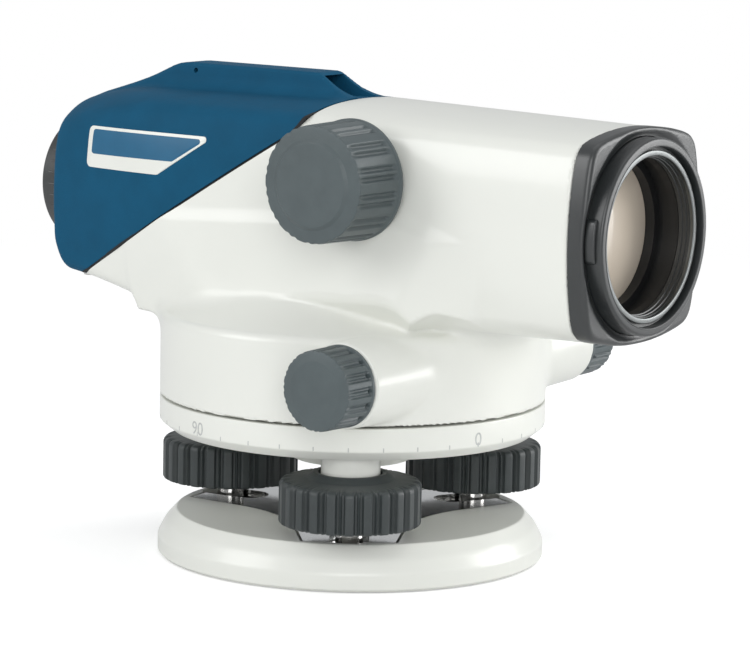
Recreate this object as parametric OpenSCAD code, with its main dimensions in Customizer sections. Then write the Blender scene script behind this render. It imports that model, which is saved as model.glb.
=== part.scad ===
/* [Line of sight and telescope] */
// Height of the line of sight above the base
axis_z = 101.7; // [98:0.1:106]
// Half height and half width of the telescope where it meets the hood
tube_half = 31.9; // [31:0.1:33]
// Half height and half width of the telescope at its front end
tube_half_front = 29.6; // [29:0.1:30.5]
// Radius of the bulge of each telescope side
side_bulge_r = 105; // [90:1:120]
// Front end of the telescope casting
tube_front_x = 92; // [90:0.5:95]
// Reach of the telescope's four long edges from the line of sight, at the hood
edge_trim_r = 39.4; // [38.5:0.1:39.8]
// Reach of the same edges at the front end
edge_trim_front_r = 36.6; // [36:0.1:37]
// Wall thickness of the casting and of the hood
wall = 2.6; // [2:0.1:3]

/* [Drum] */
// Radius of the drum and of the horizontal circle
drum_r = 56.2; // [55:0.1:58]
// Lower edge of the drum
drum_bottom_z = 46.9; // [46.7:0.1:47.2]
// Height of the drum's upper edge
drum_top_z = 71.2; // [70.5:0.1:72]
// Underside of the floor inside the drum
drum_roof_z = 68.6; // [68:0.1:69]
// Floor of the telescope above the drum
tube_floor_z = 72.4; // [72:0.1:73]

/* [Hood and sight] */
// Rear face of the hood
hood_rear_x = -96.5; // [-98:0.5:-95]
// Half width of the hood's rear face
hood_rear_half = 25.2; // [24.5:0.1:27]
// Seam angle between hood and housing
seam_angle = 31.2; // [28:0.1:34]
// Seam position at the height of seam_z
seam_x = -35; // [-36:0.5:-34]
// Height of the seam at seam_x
seam_z = 104; // [103:0.5:105]
// Upright end of the seam across the top of the telescope
seam_top_x = 4; // [3:0.5:5]
// Radius of the bend in the seam
seam_bend_r = 16; // [12:1:20]
// Width of the seal in the seam
seal_w = 0.9; // [0.6:0.1:1.2]
// Height of the sight ridge above the base
sight_top_z = 140; // [139:0.1:141]
// Half width of the sight ridge at its top
sight_half_w = 5.6; // [5.2:0.1:7]

/* [Objective] */
// Front face of the bezel
bezel_front_x = 97.8; // [96:0.1:99]
// Half height of the bezel at mid side
bezel_half = 29.9; // [29.6:0.1:30.5]
// Radius of the bulge of each bezel side
bezel_bulge_r = 90; // [80:1:100]
// Outer radius of the objective ring
ring_r = 27.3; // [26.8:0.1:27.6]
// Front edge of the objective ring
ring_front_x = 101.6; // [100:0.1:103]
// Clear opening radius of the objective
aperture_r = 21.6; // [21:0.1:22]
// Front vertex plane of the objective lens edge
lens_x = 85; // [83:0.5:87]

/* [Focus drive] */
// Focus shaft position along the telescope
focus_x = 23.2; // [22:0.1:24]
// Focus shaft height
focus_z = 113.8; // [113:0.1:115]
// Focus knob radius at its rear rim
focus_knob_r = 17.1; // [16.5:0.1:17.5]
// Focus knob radius at its front edge
focus_knob_front_r = 16.4; // [16:0.1:17]
// Outer face of the focus knob
focus_knob_out_y = -52.4; // [-53:0.1:-51]
// Inner face of the focus knob
focus_knob_in_y = -33; // [-33.5:0.1:-32.8]
// Pairs of grooves round the focus knob
focus_pairs = 14; // [12:1:16]
// Teeth of the focus pinion
pinion_teeth = 12; // [12:1:12]
// Module of the pinion and rack
gear_module = 0.5; // [0.5:0.1:0.5]

/* [Fine motion drive] */
// Worm shaft distance from the vertical axis
worm_x = 36.4; // [36.4:0.1:36.4]
// Worm shaft height
worm_z = 59.9; // [59:0.1:60.5]
// Fine knob radius
fine_knob_r = 11.2; // [10.5:0.1:12]
// Outer face of each fine knob, from the middle
fine_knob_out_y = 66.7; // [65:0.1:68]
// Inner face of each fine knob, from the middle
fine_knob_in_y = 54.6; // [54:0.1:55]
// Pairs of grooves round each fine motion knob
fine_pairs = 16; // [12:1:18]
// Teeth of the worm wheel
wheel_teeth = 90; // [90:1:90]
// Module of the worm wheel
wheel_module = 0.7; // [0.7:0.1:0.7]

/* [Foot screws] */
// Radius of the circle on which the foot screws stand
foot_circle_r = 41.8; // [41:0.1:43]
// Bearing of the first foot screw from the telescope axis
foot_bearing = -53.9; // [-60:0.1:-50]
// Foot knob radius
foot_knob_r = 20.1; // [19:0.1:20.5]
// Underside of the foot knobs
foot_knob_bottom_z = 17; // [16.5:0.1:17.5]
// Upper edge of the foot knobs
foot_knob_top_z = 29.2; // [28.5:0.1:30]
// Grooves round each foot knob
foot_grooves = 24; // [20:1:28]
// Spindle radius of the foot screws
foot_spindle_r = 4; // [3.5:0.1:4.2]
// Radius of the collars above the foot knobs
collar_r = 8.4; // [8:0.1:8.8]

/* [Levelling head and circle] */
// Lower edge of the horizontal circle
circle_bottom_z = 36.8; // [36:0.1:37.5]
// Upper edge of the horizontal circle
circle_top_z = 46.3; // [46:0.1:46.5]
// Radius of the horizontal circle's lower edge
circle_bottom_r = 52.6; // [52:0.1:54]
// Radius of the vertical spindle
spindle_r = 11; // [10.5:0.1:11.5]

/* [Base] */
// Radius of the base plate
base_r = 56.4; // [55:0.1:58]
// Height of the base plate's upright wall
base_wall_z = 5; // [4:0.1:6]
// Flat top of the base plate
base_top_z = 12.6; // [12.4:0.1:12.8]
// Radius of the base plate's flat top
base_top_r = 51; // [50:0.1:52]
// Spring plate thickness
spring_t = 2; // [1.5:0.1:2.2]
// Wall radius of the tapped tripod hole
tripod_hole_r = 6.75; // [6.7:0.01:6.9]

/* [Hidden] */
$fn = 96;

// Colours of the finishes
white_paint = [0.90, 0.91, 0.89];
blue_plastic = [0.13, 0.34, 0.47];
grey_plastic = [0.34, 0.37, 0.39];
dark_plastic = [0.24, 0.26, 0.27];
black_finish = [0.12, 0.13, 0.13];
steel = [0.74, 0.74, 0.74];
brass = [0.78, 0.64, 0.34];
bright_alloy = [0.62, 0.64, 0.66];
glass = [0.80, 0.88, 0.88, 0.5];
coated_glass = [0.72, 0.66, 0.59, 0.8];

// Clearances: running fit, fixed seat, and free air between bodies
run_gap = 0.05;
seat_gap = 0.02;
air_gap = 0.3;
// Extra length that carries a cut past a face
past = 1;

// A unit vector along v
function unit(v) = v / norm(v);
// Points of the arc that rounds the corner at b between a and c
function corner_arc(a, b, c, r, steps) =
    let (
        u = unit(a - b),
        v = unit(c - b),
        half = acos(u * v) / 2,
        centre = b + unit(u + v) * r / sin(half),
        p = b + u * r / tan(half) - centre,
        q = b + v * r / tan(half) - centre,
        start = atan2(p.y, p.x),
        turn = atan2(p.x * q.y - p.y * q.x, p * q)
    )
    [for (i = [0 : steps]) centre + r * [cos(start + turn * i / steps), sin(start + turn * i / steps)]];
// Outline through corners [x, y, rounding], each rounded by its own radius
function outline(corners, steps = 8) =
    let (n = len(corners))
    [for (i = [0 : n - 1])
        let (
            a = corners[(i + n - 1) % n],
            b = corners[i],
            c = corners[(i + 1) % n]
        )
        each b[2] == 0 ? [[b.x, b.y]]
            : corner_arc([a.x, a.y], [b.x, b.y], [c.x, c.y], b[2], steps)];

// Turned shape about the line of sight, from points [radius, x]
module turned_x(points) {
    translate([0, 0, axis_z]) rotate([0, 90, 0]) rotate_extrude() polygon(points);
}
// Plain ring about the line of sight
module ring_x(x0, x1, r_out, r_in) {
    turned_x([[r_in, x0], [r_out, x0], [r_out, x1], [r_in, x1]]);
}
// Rod about the line of sight
module rod_x(x0, x1, r) {
    translate([x0, 0, axis_z]) rotate([0, 90, 0]) cylinder(h = x1 - x0, r = r);
}
// Turned shape about a line across the telescope, from points [radius, y]
module turned_y(x, z, points) {
    translate([x, 0, z]) rotate([-90, 0, 0]) rotate_extrude() polygon(points);
}
// Rod across the telescope
module rod_y(x, z, y0, y1, r) {
    translate([x, y0, z]) rotate([-90, 0, 0]) cylinder(h = y1 - y0, r = r);
}
// Ring standing on the vertical axis
module ring_z(z0, z1, r_out, r_in) {
    rotate_extrude() polygon([[r_in, z0], [r_out, z0], [r_out, z1], [r_in, z1]]);
}
// Outline in side view, extruded across the telescope between y0 and y1
module side_view(y0, y1) {
    translate([0, y1, 0]) rotate([90, 0, 0]) linear_extrude(y1 - y0) children();
}
// Outline in cross-section, extruded along the telescope between x0 and x1
module cross_section(x0, x1) {
    translate([x0, 0, 0]) rotate([90, 0, 90]) linear_extrude(x1 - x0) children();
}
// Copies placed at the three foot screws
module at_foot(i) {
    rotate(foot_bearing + 120 * i) translate([foot_circle_r, 0, 0]) children();
}

// Telescope form
// Distance of each side's centre of bulge beyond the line of sight
bulge_offset = side_bulge_r - tube_half_front;
// Half width of any solid cut by the telescope's outlines
reach = 60;

// Tapered barrel with four bulging sides, grown by g
module barrel_form(x1, g, sides = 4) {
    taper = (tube_half - tube_half_front) / tube_front_x;
    intersection() {
        rod_cone(x1, edge_trim_r + g, edge_trim_front_r + g);
        intersection_for (i = [0 : sides - 1])
            translate([0, 0, axis_z]) rotate([90 * i, 0, 0]) translate([0, 0, -bulge_offset])
                rotate([0, 90, 0])
                    cylinder(h = x1, r1 = bulge_offset + tube_half + g,
                        r2 = bulge_offset + tube_half + g - taper * x1, $fn = 128);
    }
}
// Cone about the line of sight from the hood end to x1, for a taper that ends at the tube front
module rod_cone(x1, r0, r_front) {
    translate([0, 0, axis_z]) rotate([0, 90, 0])
        cylinder(h = x1, r1 = r0, r2 = r0 + (r_front - r0) * x1 / tube_front_x, $fn = 128);
}

// Rear half of the telescope body
body_floor_z = 66.3;
rear_low_x = -78;
rear_low_z = 76.6;
rear_slope = 0.271;
rear_heel_x = -92;
rear_heel_z = 77.4;
rear_face_low_z = 86;
rear_face_top_z = 128;
rear_waist_x = -60;
rear_waist_half = 31.6;
rear_root_half = 34;
// Arched top of the rear end: a cone on a lower axis
arch_z = 84.2;
arch_r = 45;
arch_x = -94;
arch_growth = 0.247;
// Body of the rear half, grown by g, with its floor at floor_z above the drum
module rear_form(g, floor_z) {
    rear_x = hood_rear_x - g;
    floor_end_x = rear_low_x + (rear_low_z - g - floor_z) / rear_slope;
    corner_r = edge_trim_r + 0.6 + g;
    intersection() {
        // Side outline
        side_view(-reach, reach)
            polygon(outline([
                [0, floor_z, 0],
                [floor_end_x, floor_z, 0],
                [rear_low_x, rear_low_z - g, 5],
                [rear_heel_x - g / 2, rear_heel_z - g, 4],
                [rear_x, rear_face_low_z - g / 2, 4],
                [rear_x, rear_face_top_z + g, 8],
                [rear_low_x, 132.3 + g, 60],
                [0, axis_z + tube_half + 0.6 + g, 0]]));
        // Plan outline
        linear_extrude(axis_z + reach)
            polygon(outline([
                [0, -rear_root_half - g, 0],
                [0, rear_root_half + g, 0],
                [rear_waist_x, rear_waist_half + g, 40],
                [rear_x, hood_rear_half + g, 9],
                [rear_x, -hood_rear_half - g, 9],
                [rear_waist_x, -rear_waist_half - g, 40]]));
        // Arched top, falling to the rear
        translate([arch_x, 0, arch_z]) rotate([0, 90, 0])
            translate([0, 0, -reach / 2])
                cylinder(h = reach / 2 - arch_x, r1 = arch_r + g - arch_growth * reach / 2,
                    r2 = arch_r + g - arch_growth * arch_x, $fn = 128);
        // Softened corners of the rear end, upper ones only in front of the heel
        union() {
            turned_x(outline([
                [0, rear_x, 0],
                [27.5 + g, rear_x, 5],
                [35 + g, hood_rear_x + 7, 9],
                [corner_r, -64, 30],
                [corner_r, 0, 0],
                [0, 0, 0]]));
            translate([rear_heel_x, -reach, 0]) cube([-rear_heel_x, 2 * reach, axis_z - tube_half / 2]);
        }
        // Cross-section with bulging sides and top, open below
        cross_section(rear_x - past, 0)
            intersection() {
                translate([0, axis_z - bulge_offset]) circle(r = bulge_offset + tube_half + g, $fn = 128);
                side_circles(g);
                union() {
                    translate([0, axis_z]) circle(r = edge_trim_r + g, $fn = 128);
                    translate([-reach, 0]) square([2 * reach, axis_z]);
                }
            }
    }
}
// Both bulging side circles of the cross-section
module side_circles(g) {
    intersection_for (s = [-1, 1])
        translate([s * bulge_offset, axis_z]) circle(r = bulge_offset + tube_half + g, $fn = 128);
}

// Region of the hood in side view; drop moves the seam along by the seal's width
module hood_region(shift = 0) {
    slope = tan(seam_angle);
    line_z = function (x) seam_z + slope * (x - seam_x);
    rear_end = hood_rear_x - reach;
    top_end = sight_top_z + reach;
    // The seam moves back by shift square to both its straight stretches
    translate([-shift, shift * (1 - sin(seam_angle)) / cos(seam_angle)])
        polygon(outline([
            [rear_end, line_z(rear_end), 0],
            [seam_top_x, line_z(seam_top_x), seam_bend_r],
            [seam_top_x, top_end, 0],
            [rear_end, top_end, 0]], 16));
}

// Base body
spring_top_z = base_top_z - 0.1;
spring_bottom_z = spring_top_z - spring_t;
arm_end_r = 46.8;
arm_end_half_w = 13;
arm_root_half_w = 18.85;
slot_half_w = 5.6;
slot_inner_r = 34.8;
gap_arc_r = 43.4;
gap_arc_at = 67.4;
hub_r = 15;
pocket_r = 8.2;
pocket_floor_z = 5.6;
flange_r = 7.4;
flange_bottom_z = 8;
flange_top_z = spring_bottom_z - air_gap;
plate_gap = 0.8;

// Plan outline of the forked spring plate, one arm to each foot screw, grown by g
module spring_outline(g) {
    difference() {
        union() {
            circle(r = 32 + g);
            for (i = [0 : 2])
                rotate(foot_bearing + 120 * i)
                    polygon([[0, -arm_root_half_w - g], [arm_end_r + g, -arm_end_half_w - g],
                        [arm_end_r + g, arm_end_half_w + g], [0, arm_root_half_w + g]]);
        }
        for (i = [0 : 2])
            rotate(foot_bearing + 60 + 120 * i) translate([gap_arc_at, 0]) circle(r = gap_arc_r - g);
    }
}
// Open slots that take the foot screws
module spring_slots() {
    for (i = [0 : 2])
        rotate(foot_bearing + 120 * i) {
            translate([slot_inner_r, 0]) circle(r = slot_half_w);
            translate([slot_inner_r, -slot_half_w]) square([reach, 2 * slot_half_w]);
        }
}
base_shoulder = [54.3, 9, 9];
relief_r = 46;
relief_in_r = 19;
relief_depth = 1.5;
module base_plate() color(white_paint)
    difference() {
        rotate_extrude($fn = 180)
            polygon(outline([
                [0, 0, 0], [base_r - 0.8, 0, 0], [base_r, 0.8, 0], [base_r, base_wall_z, 2.5],
                base_shoulder, [base_top_r, base_top_z, 1], [0, base_top_z, 0]], 4));
        // Relief under the plate, between the rim and the hub
        translate([0, 0, -past]) ring_z(0, past + relief_depth, relief_r, relief_in_r);
        // Tapped tripod hole
        translate([0, 0, -past]) cylinder(h = base_top_z + 2 * past, r = tripod_hole_r);
        // Bed of the spring plate, open to the hub
        translate([0, 0, spring_bottom_z]) linear_extrude(base_top_z) spring_outline(plate_gap);
        // Pockets for the foot screws' flanges
        for (i = [0 : 2])
            at_foot(i) translate([0, 0, pocket_floor_z]) cylinder(h = base_top_z, r = pocket_r);
        spring_screw_holes(spring_bottom_z - 5);
    }
// Tapped holes for the spring plate's screws
screw_r = 1.5;
spring_screw_circle_r = 19.4;
module spring_screw_holes(z) {
    for (i = [0 : 2])
        rotate(foot_bearing + 60 + 120 * i) translate([spring_screw_circle_r, 0, z])
            cylinder(h = base_top_z, r = screw_r + seat_gap, $fn = 32);
}
module spring_plate() color(steel)
    difference() {
        translate([0, 0, spring_bottom_z + seat_gap]) linear_extrude(spring_t - seat_gap)
            difference() {
                spring_outline(0);
                spring_slots();
                circle(r = hub_r);
            }
        spring_screw_holes(spring_bottom_z - past);
    }
module spring_plate_screws() color(steel)
    for (i = [0 : 2])
        rotate(foot_bearing + 60 + 120 * i) translate([spring_screw_circle_r, 0, 0])
            pan_screw(spring_top_z, spring_t + 4, screw_r);
// Screw with a domed head on the face at z and its shank below
module pan_screw(z, shank, r) {
    head_r = 1.9 * r;
    head_h = 1.1 * r;
    difference() {
        union() {
            translate([0, 0, z - shank]) cylinder(h = shank + head_h / 2, r = r, $fn = 32);
            translate([0, 0, z]) cylinder(h = head_h, r1 = head_r, r2 = 0.8 * head_r, $fn = 32);
        }
        // Six-sided key recess
        translate([0, 0, z + head_h / 3]) cylinder(h = head_h, r = 0.6 * r, $fn = 6);
    }
}

// Foot screws
knob_recess_r = 9.1;
knob_recess_z = 20.4;
knob_hub_r = 10.4;
knob_hub_z = 31.6;
foot_spindle_top_z = 38;
groove_w = 1;
groove_depth = 0.9;
groove_spread = 0.75;
module foot_knob(i) color(dark_plastic)
    at_foot(i)
        difference() {
            rotate_extrude()
                polygon(outline([
                    [0, foot_knob_bottom_z, 0], [foot_knob_r - 0.6, foot_knob_bottom_z, 0],
                    [foot_knob_r, foot_knob_bottom_z + 0.6, 0], [foot_knob_r, foot_knob_top_z, 1.6],
                    [12.4, foot_knob_top_z + 0.8, 2], [knob_hub_r, knob_hub_z, 0.6], [0, knob_hub_z, 0]], 4));
            // Finger grooves in pairs, a thin rib between the two of each pair
            for (k = [0 : foot_grooves - 1], side = [-1, 1])
                rotate(360 / foot_grooves * (k + 0.5))
                    translate([foot_knob_r - groove_depth, groove_spread * side - groove_w / 2, 0])
                        cube([reach, groove_w, reach]);
            // Recess that takes the collar
            translate([0, 0, knob_recess_z]) cylinder(h = reach, r = knob_recess_r);
            cylinder(h = reach, r = foot_spindle_r + seat_gap);
        }
module foot_spindle(i) color(steel)
    at_foot(i)
        rotate_extrude($fn = 64)
            polygon([
                [0, pocket_floor_z + 0.1], [2, pocket_floor_z + 0.1], [3.2, pocket_floor_z + 0.9],
                [3.6, flange_bottom_z], [flange_r, flange_bottom_z], [flange_r, flange_top_z],
                [foot_spindle_r, flange_top_z], [foot_spindle_r, foot_spindle_top_z - 0.6],
                [foot_spindle_r - 0.6, foot_spindle_top_z], [0, foot_spindle_top_z]]);
module foot_knob_1() foot_knob(0);
module foot_knob_2() foot_knob(1);
module foot_knob_3() foot_knob(2);
module foot_spindle_1() foot_spindle(0);
module foot_spindle_2() foot_spindle(1);
module foot_spindle_3() foot_spindle(2);

// Levelling head
head_disc_z = 38;
// Ribs under the disc, clear of the foot knobs with the head at its lowest
rib_z = 35.2;
rib_h = 5;
rib_w = 6;
// Bore of the circle, clear of the collars
circle_inner_r = foot_circle_r + collar_r + 0.6;
head_top_z = 43;
head_r = 49.6;
nut_r = 6.2;
nut_bottom_z = 25;
nut_top_z = 40;
hub_seat_r = 30;
sleeve_r = 16;
bush_r = 13.5;
bush_bottom_z = 30;
bush_top_z = 64.2;
clutch_seat_z = 56;
washer_t = 0.8;
wheel_bottom_z = clutch_seat_z + washer_t + 0.1;
wheel_top_z = worm_z + (worm_z - wheel_bottom_z);
head_bottom_z = 28;
head_hub_r = 17;
head_hub_top_r = 19;
head_rim_in_r = 46.4;
clutch_seat_r = 22;
collar_bottom_z = 24.4;
foot_thread_gap = 0.6;
module levelling_head() color(white_paint)
    difference() {
        union() {
            rotate_extrude()
                polygon([
                    [0, head_bottom_z], [head_hub_r, head_bottom_z], [head_hub_top_r, head_disc_z + 2],
                    [head_rim_in_r, head_disc_z + 2], [head_rim_in_r, head_disc_z],
                    [head_r, head_disc_z], [head_r, head_top_z], [hub_seat_r, head_top_z],
                    [hub_seat_r, circle_top_z - 0.4], [clutch_seat_r, circle_top_z],
                    [clutch_seat_r, clutch_seat_z],
                    [sleeve_r, clutch_seat_z], [sleeve_r, bush_top_z - 0.2], [0, bush_top_z - 0.2]]);
            // Collars over the foot screws, tied to the hub by ribs
            for (i = [0 : 2]) {
                at_foot(i) translate([0, 0, collar_bottom_z])
                    cylinder(h = head_top_z - collar_bottom_z, r = collar_r);
                rotate(foot_bearing + 120 * i) translate([0, -rib_w / 2, rib_z])
                    cube([foot_circle_r, rib_w, rib_h]);
            }
        }
        translate([0, 0, bush_bottom_z]) cylinder(h = reach, r = bush_r + seat_gap);
        cylinder(h = reach, r = spindle_r - 3);
        for (i = [0 : 2])
            at_foot(i) {
                cylinder(h = nut_bottom_z, r = foot_spindle_r + foot_thread_gap);
                translate([0, 0, nut_bottom_z]) cylinder(h = nut_top_z - nut_bottom_z, r = nut_r + seat_gap);
                cylinder(h = nut_top_z + 2, r = foot_spindle_r + foot_thread_gap);
            }
    }
module foot_nuts() color(brass)
    for (i = [0 : 2])
        at_foot(i) ring_z(nut_bottom_z, nut_top_z, nut_r, foot_spindle_r + run_gap);
module axis_bush() color(brass)
    ring_z(bush_bottom_z, bush_top_z, bush_r, spindle_r + run_gap);
module clutch_washer() color(steel)
    ring_z(clutch_seat_z, clutch_seat_z + washer_t, clutch_seat_r - 0.5, sleeve_r + seat_gap);

// Horizontal circle
module horizontal_circle() color(white_paint)
    rotate_extrude($fn = 180)
        polygon([
            [circle_inner_r, circle_bottom_z], [circle_bottom_r, circle_bottom_z],
            [drum_r, circle_bottom_z + 2.8],
            [drum_r, circle_top_z - 0.3], [drum_r - 0.3, circle_top_z], [hub_seat_r + run_gap, circle_top_z],
            [hub_seat_r + run_gap, head_top_z + 0.2], [circle_inner_r, head_top_z + 0.2]]);

// Worm wheel, with straight teeth cut for the worm
wheel_pitch_r = wheel_module * wheel_teeth / 2;
worm_pitch = PI * wheel_module;
tooth_tip = 0.6 * wheel_module;
tooth_root = 0.85 * wheel_module;
worm_pitch_r = worm_x - wheel_pitch_r;
// Points of one wheel tooth, its middle at angle a
function wheel_tooth(a) =
    let (
        root_r = wheel_pitch_r - tooth_root,
        tip_r = wheel_pitch_r + tooth_tip,
        root_half = 0.30 * 360 / wheel_teeth,
        tip_half = 0.13 * 360 / wheel_teeth
    )
    [[root_r, -root_half], [tip_r, -tip_half], [tip_r, tip_half], [root_r, root_half]];
module worm_wheel() color(brass)
    difference() {
        translate([0, 0, wheel_bottom_z]) linear_extrude(wheel_top_z - wheel_bottom_z)
            polygon([for (i = [0 : wheel_teeth - 1])
                for (p = wheel_tooth(0))
                    let (a = p.y + 360 / wheel_teeth * i)
                    p.x * [cos(a), sin(a)]]);
        cylinder(h = reach + wheel_top_z, r = sleeve_r + run_gap);
    }

// Main housing
skirt_lip_y = -36;
skirt_lip_z = 80;
skirt_bend_x = 26;
skirt_bend_r = 55;
skirt_drop = 30;
skirt_front_x = 52;
skirt_front_y = -28.4;
skirt_front_shoulder_x = 28;
skirt_rear_x = -56;
skirt_rear_y = -28;
skirt_rear_shoulder_x = -24;
skirt_root_y = -15;
flare_top_y = -30.4;
flare_top_z = 101.7;
hollow_y = -31;
hollow_z = 75.8;
hollow_foot_y = -33.5;
boss_r = 12;
boss_root_r = 13;
boss_root_y = 24;
focus_boss_r = 11.5;
level_x = -6;
level_y = 44;
cell_bore_r = 24;
front_wall_x = 86;
drum_in_r = drum_r - 3.4;
lug_r = 4;

// Drum with a rounded upper edge and a short neck rising to the telescope
module drum_form() {
    neck_r = 29;
    neck_curve = 5;
    neck_z = drum_top_z + 0.6;
    rotate_extrude($fn = 180)
        difference() {
            polygon(outline([
                [0, drum_bottom_z, 0], [drum_r - 0.3, drum_bottom_z, 0], [drum_r, drum_bottom_z + 0.3, 0],
                [drum_r, drum_top_z, 2.4], [neck_r + neck_curve, neck_z, 0],
                [neck_r + neck_curve, neck_z + neck_curve, 0], [0, neck_z + neck_curve, 0]]));
            translate([neck_r + neck_curve, neck_z + neck_curve]) circle(r = neck_curve);
        }
}
// Section of the near side panel's flared lower lip, hollowed out beneath
module lip_section() {
    flare_in = flare_top_y - skirt_lip_y - 0.4;
    flare_h = flare_top_z - skirt_lip_z - 1;
    flare_r = (flare_in * flare_in + flare_h * flare_h) / (2 * flare_in);
    difference() {
        polygon(outline([
            [skirt_root_y, flare_top_z, 0], [skirt_lip_y, flare_top_z, 0], [skirt_lip_y, skirt_lip_z, 0.9],
            [hollow_y, hollow_z, 3.5], [hollow_foot_y, drum_top_z - past, 0],
            [skirt_root_y, drum_top_z - past, 0]]));
        translate([flare_top_y - flare_r, flare_top_z]) circle(r = flare_r, $fn = 128);
    }
}
// Flared lip along the near side, curving down towards the front
module side_skirt() {
    pivot_z = skirt_lip_z - skirt_bend_r;
    intersection() {
        union() {
            cross_section(skirt_rear_x, skirt_bend_x) lip_section();
            translate([skirt_bend_x, 0, pivot_z]) rotate([-90, 0, 0]) rotate([0, 0, -90])
                rotate_extrude(angle = skirt_drop, $fn = 360) translate([-pivot_z, 0])
                    mirror([1, -1]) lip_section();
        }
        // Plan outline, fading into the side at both ends
        translate([0, 0, drum_top_z - past]) linear_extrude(reach)
            polygon(outline([
                [skirt_rear_x, skirt_rear_y, 0], [skirt_rear_shoulder_x, skirt_lip_y, 60],
                [skirt_front_shoulder_x, skirt_lip_y, 40], [skirt_front_x, skirt_front_y, 0],
                [skirt_front_x, skirt_root_y, 0], [skirt_rear_x, skirt_root_y, 0]], 12));
    }
}
// Low round boss behind the focus knob
module focus_boss() {
    face_y = focus_knob_in_y + 0.5;
    turned_y(focus_x, focus_z, outline([
        [0, face_y, 0], [focus_boss_r, face_y, 0.3], [focus_boss_r + 0.3, face_y + 1.2, 1],
        [focus_boss_r + 2.9, face_y + 2.6, 0], [0, face_y + 2.6, 0]]));
}
// Tapered bosses for the fine motion shaft, one each side
module worm_bosses() {
    for (s = [-1, 1])
        translate([worm_x, 0, worm_z]) rotate([-90 * s, 0, 0]) translate([0, 0, boss_root_y])
            cylinder(h = fine_knob_in_y - air_gap - boss_root_y, r1 = boss_root_r, r2 = boss_r);
}
// Lugs in the drum that take the cover's screws
module cover_lugs() {
    for (i = [0 : 2])
        rotate(60 + 120 * i) translate([cover_lug_r, 0, cover_z + cover_t])
            cylinder(h = drum_roof_z - cover_z, r = lug_r);
}
module main_housing() color(white_paint)
    difference() {
        union() {
            difference() {
                union() {
                    barrel_form(tube_front_x, 0);
                    rear_form(0, body_floor_z);
                    side_skirt();
                }
                side_view(-reach, reach) hood_region();
            }
            drum_form();
            focus_boss();
            worm_bosses();
        }
        // Space for the optics
        inner_barrel(front_wall_x);
        rear_form(-wall, tube_floor_z);
        // Space for the drive in the drum
        difference() {
            cylinder(h = drum_roof_z, r = drum_in_r);
            cover_lugs();
        }
        // Objective bore in the front wall
        rod_x(front_wall_x - past, tube_front_x + past, cell_bore_r + seat_gap);
        // Bores for the bushes of both cross shafts
        rod_y(focus_x, focus_z, -reach, -20, focus_bush_r + seat_gap);
        rod_y(focus_x, focus_z, bush_seat_y - seat_gap, -20, bush_flange_r + 0.3);
        rod_y(worm_x, worm_z, -reach, reach, worm_bush_r + seat_gap);
        // Tapped holes for the spindle's flange, the drum cover and the level
        flange_holes(flange_screw_circle_r, drum_roof_z - past, 3.6);
        flange_holes(cover_lug_r, cover_z, cover_t + 5);
        for (i = [0 : 2])
            level_screw_place(i) cylinder(h = level_screw_len, r = level_screw_r + seat_gap, $fn = 24);
    }
// Hollow of the barrel up to x1, above its floor
module inner_barrel(x1) {
    intersection() {
        barrel_form(x1, -wall);
        translate([-past, -reach, tube_floor_z]) cube([2 * reach, 2 * reach, reach]);
    }
}
focus_bush_r = 6;
bush_flange_r = 8;
// Spot face inside the wall, where the focus bush's flange sits
bush_seat_y = -27.4;
bush_end_y = -32.4;
worm_bush_r = 7;
flange_screw_circle_r = 19;
// Three tapped holes on a circle, rising from z
module flange_holes(circle_r, z, depth) {
    for (i = [0 : 2])
        rotate(60 + 120 * i) translate([circle_r, 0, z])
            cylinder(h = depth, r = screw_r + seat_gap, $fn = 32);
}

// Hood, seal and hood screws
sight_front_x = -10.4;
sight_front_foot_x = -0.4;
sight_rear_x = -62.3;
sight_foot_x = -79.7;
pin_hole_x = -55.4;
pin_hole_z = 137.8;
tunnel_rear_x = -56.5;
tunnel_half_w = 4.5;
tunnel_floor_z = 134.2;
tunnel_roof_z = 139;
eyepiece_bore_r = 15;
module sight_ridge() {
    root_z = axis_z + 20;
    root_half = 7;
    skirt_half = 9.5;
    skirt_z = 131.5;
    root_rise_z = 133.2;
    foot_z = 131.6;
    intersection() {
        side_view(-reach, reach)
            polygon(outline([
                [sight_foot_x - 8, root_z, 0], [sight_foot_x, foot_z, 6],
                [sight_rear_x, sight_top_z, 5], [sight_front_x, sight_top_z, 0.5],
                [sight_front_foot_x, axis_z + tube_half - 0.1, 0], [sight_front_foot_x, root_z, 0]]));
        cross_section(hood_rear_x, reach)
            polygon(outline([
                [-skirt_half, root_z, 0], [-skirt_half, skirt_z, 0], [-root_half, root_rise_z, 2],
                [-sight_half_w, sight_top_z + 0.1, 1], [sight_half_w, sight_top_z + 0.1, 1],
                [root_half, root_rise_z, 2], [skirt_half, skirt_z, 0], [skirt_half, root_z, 0]]));
    }
}
module eyepiece_hood() color(blue_plastic)
    difference() {
        intersection() {
            union() {
                barrel_form(2 * seam_bend_r, 0);
                rear_form(0, body_floor_z);
                sight_ridge();
            }
            side_view(-reach, reach) hood_region(seal_w);
        }
        inner_barrel(2 * seam_bend_r);
        rear_form(-wall, tube_floor_z);
        // Sighting tunnel with a small peep hole at the rear
        translate([tunnel_rear_x, -tunnel_half_w, tunnel_floor_z])
            cube([reach - tunnel_rear_x, 2 * tunnel_half_w, tunnel_roof_z - tunnel_floor_z]);
        rod_at(hood_rear_x, tunnel_rear_x + past, (tunnel_floor_z + tunnel_roof_z) / 2, 1.4);
        // Cross hole for the foresight pin
        rod_y(pin_hole_x, pin_hole_z, -reach, -4, 0.7);
        rod_x(hood_rear_x - past, hood_rear_x + 2 * wall, eyepiece_bore_r + seat_gap);
        for (s = [-1, 1])
            hood_screw_place(s) translate([0, 0, -past]) cylinder(h = 8, r = screw_r + seat_gap, $fn = 32);
    }
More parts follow.
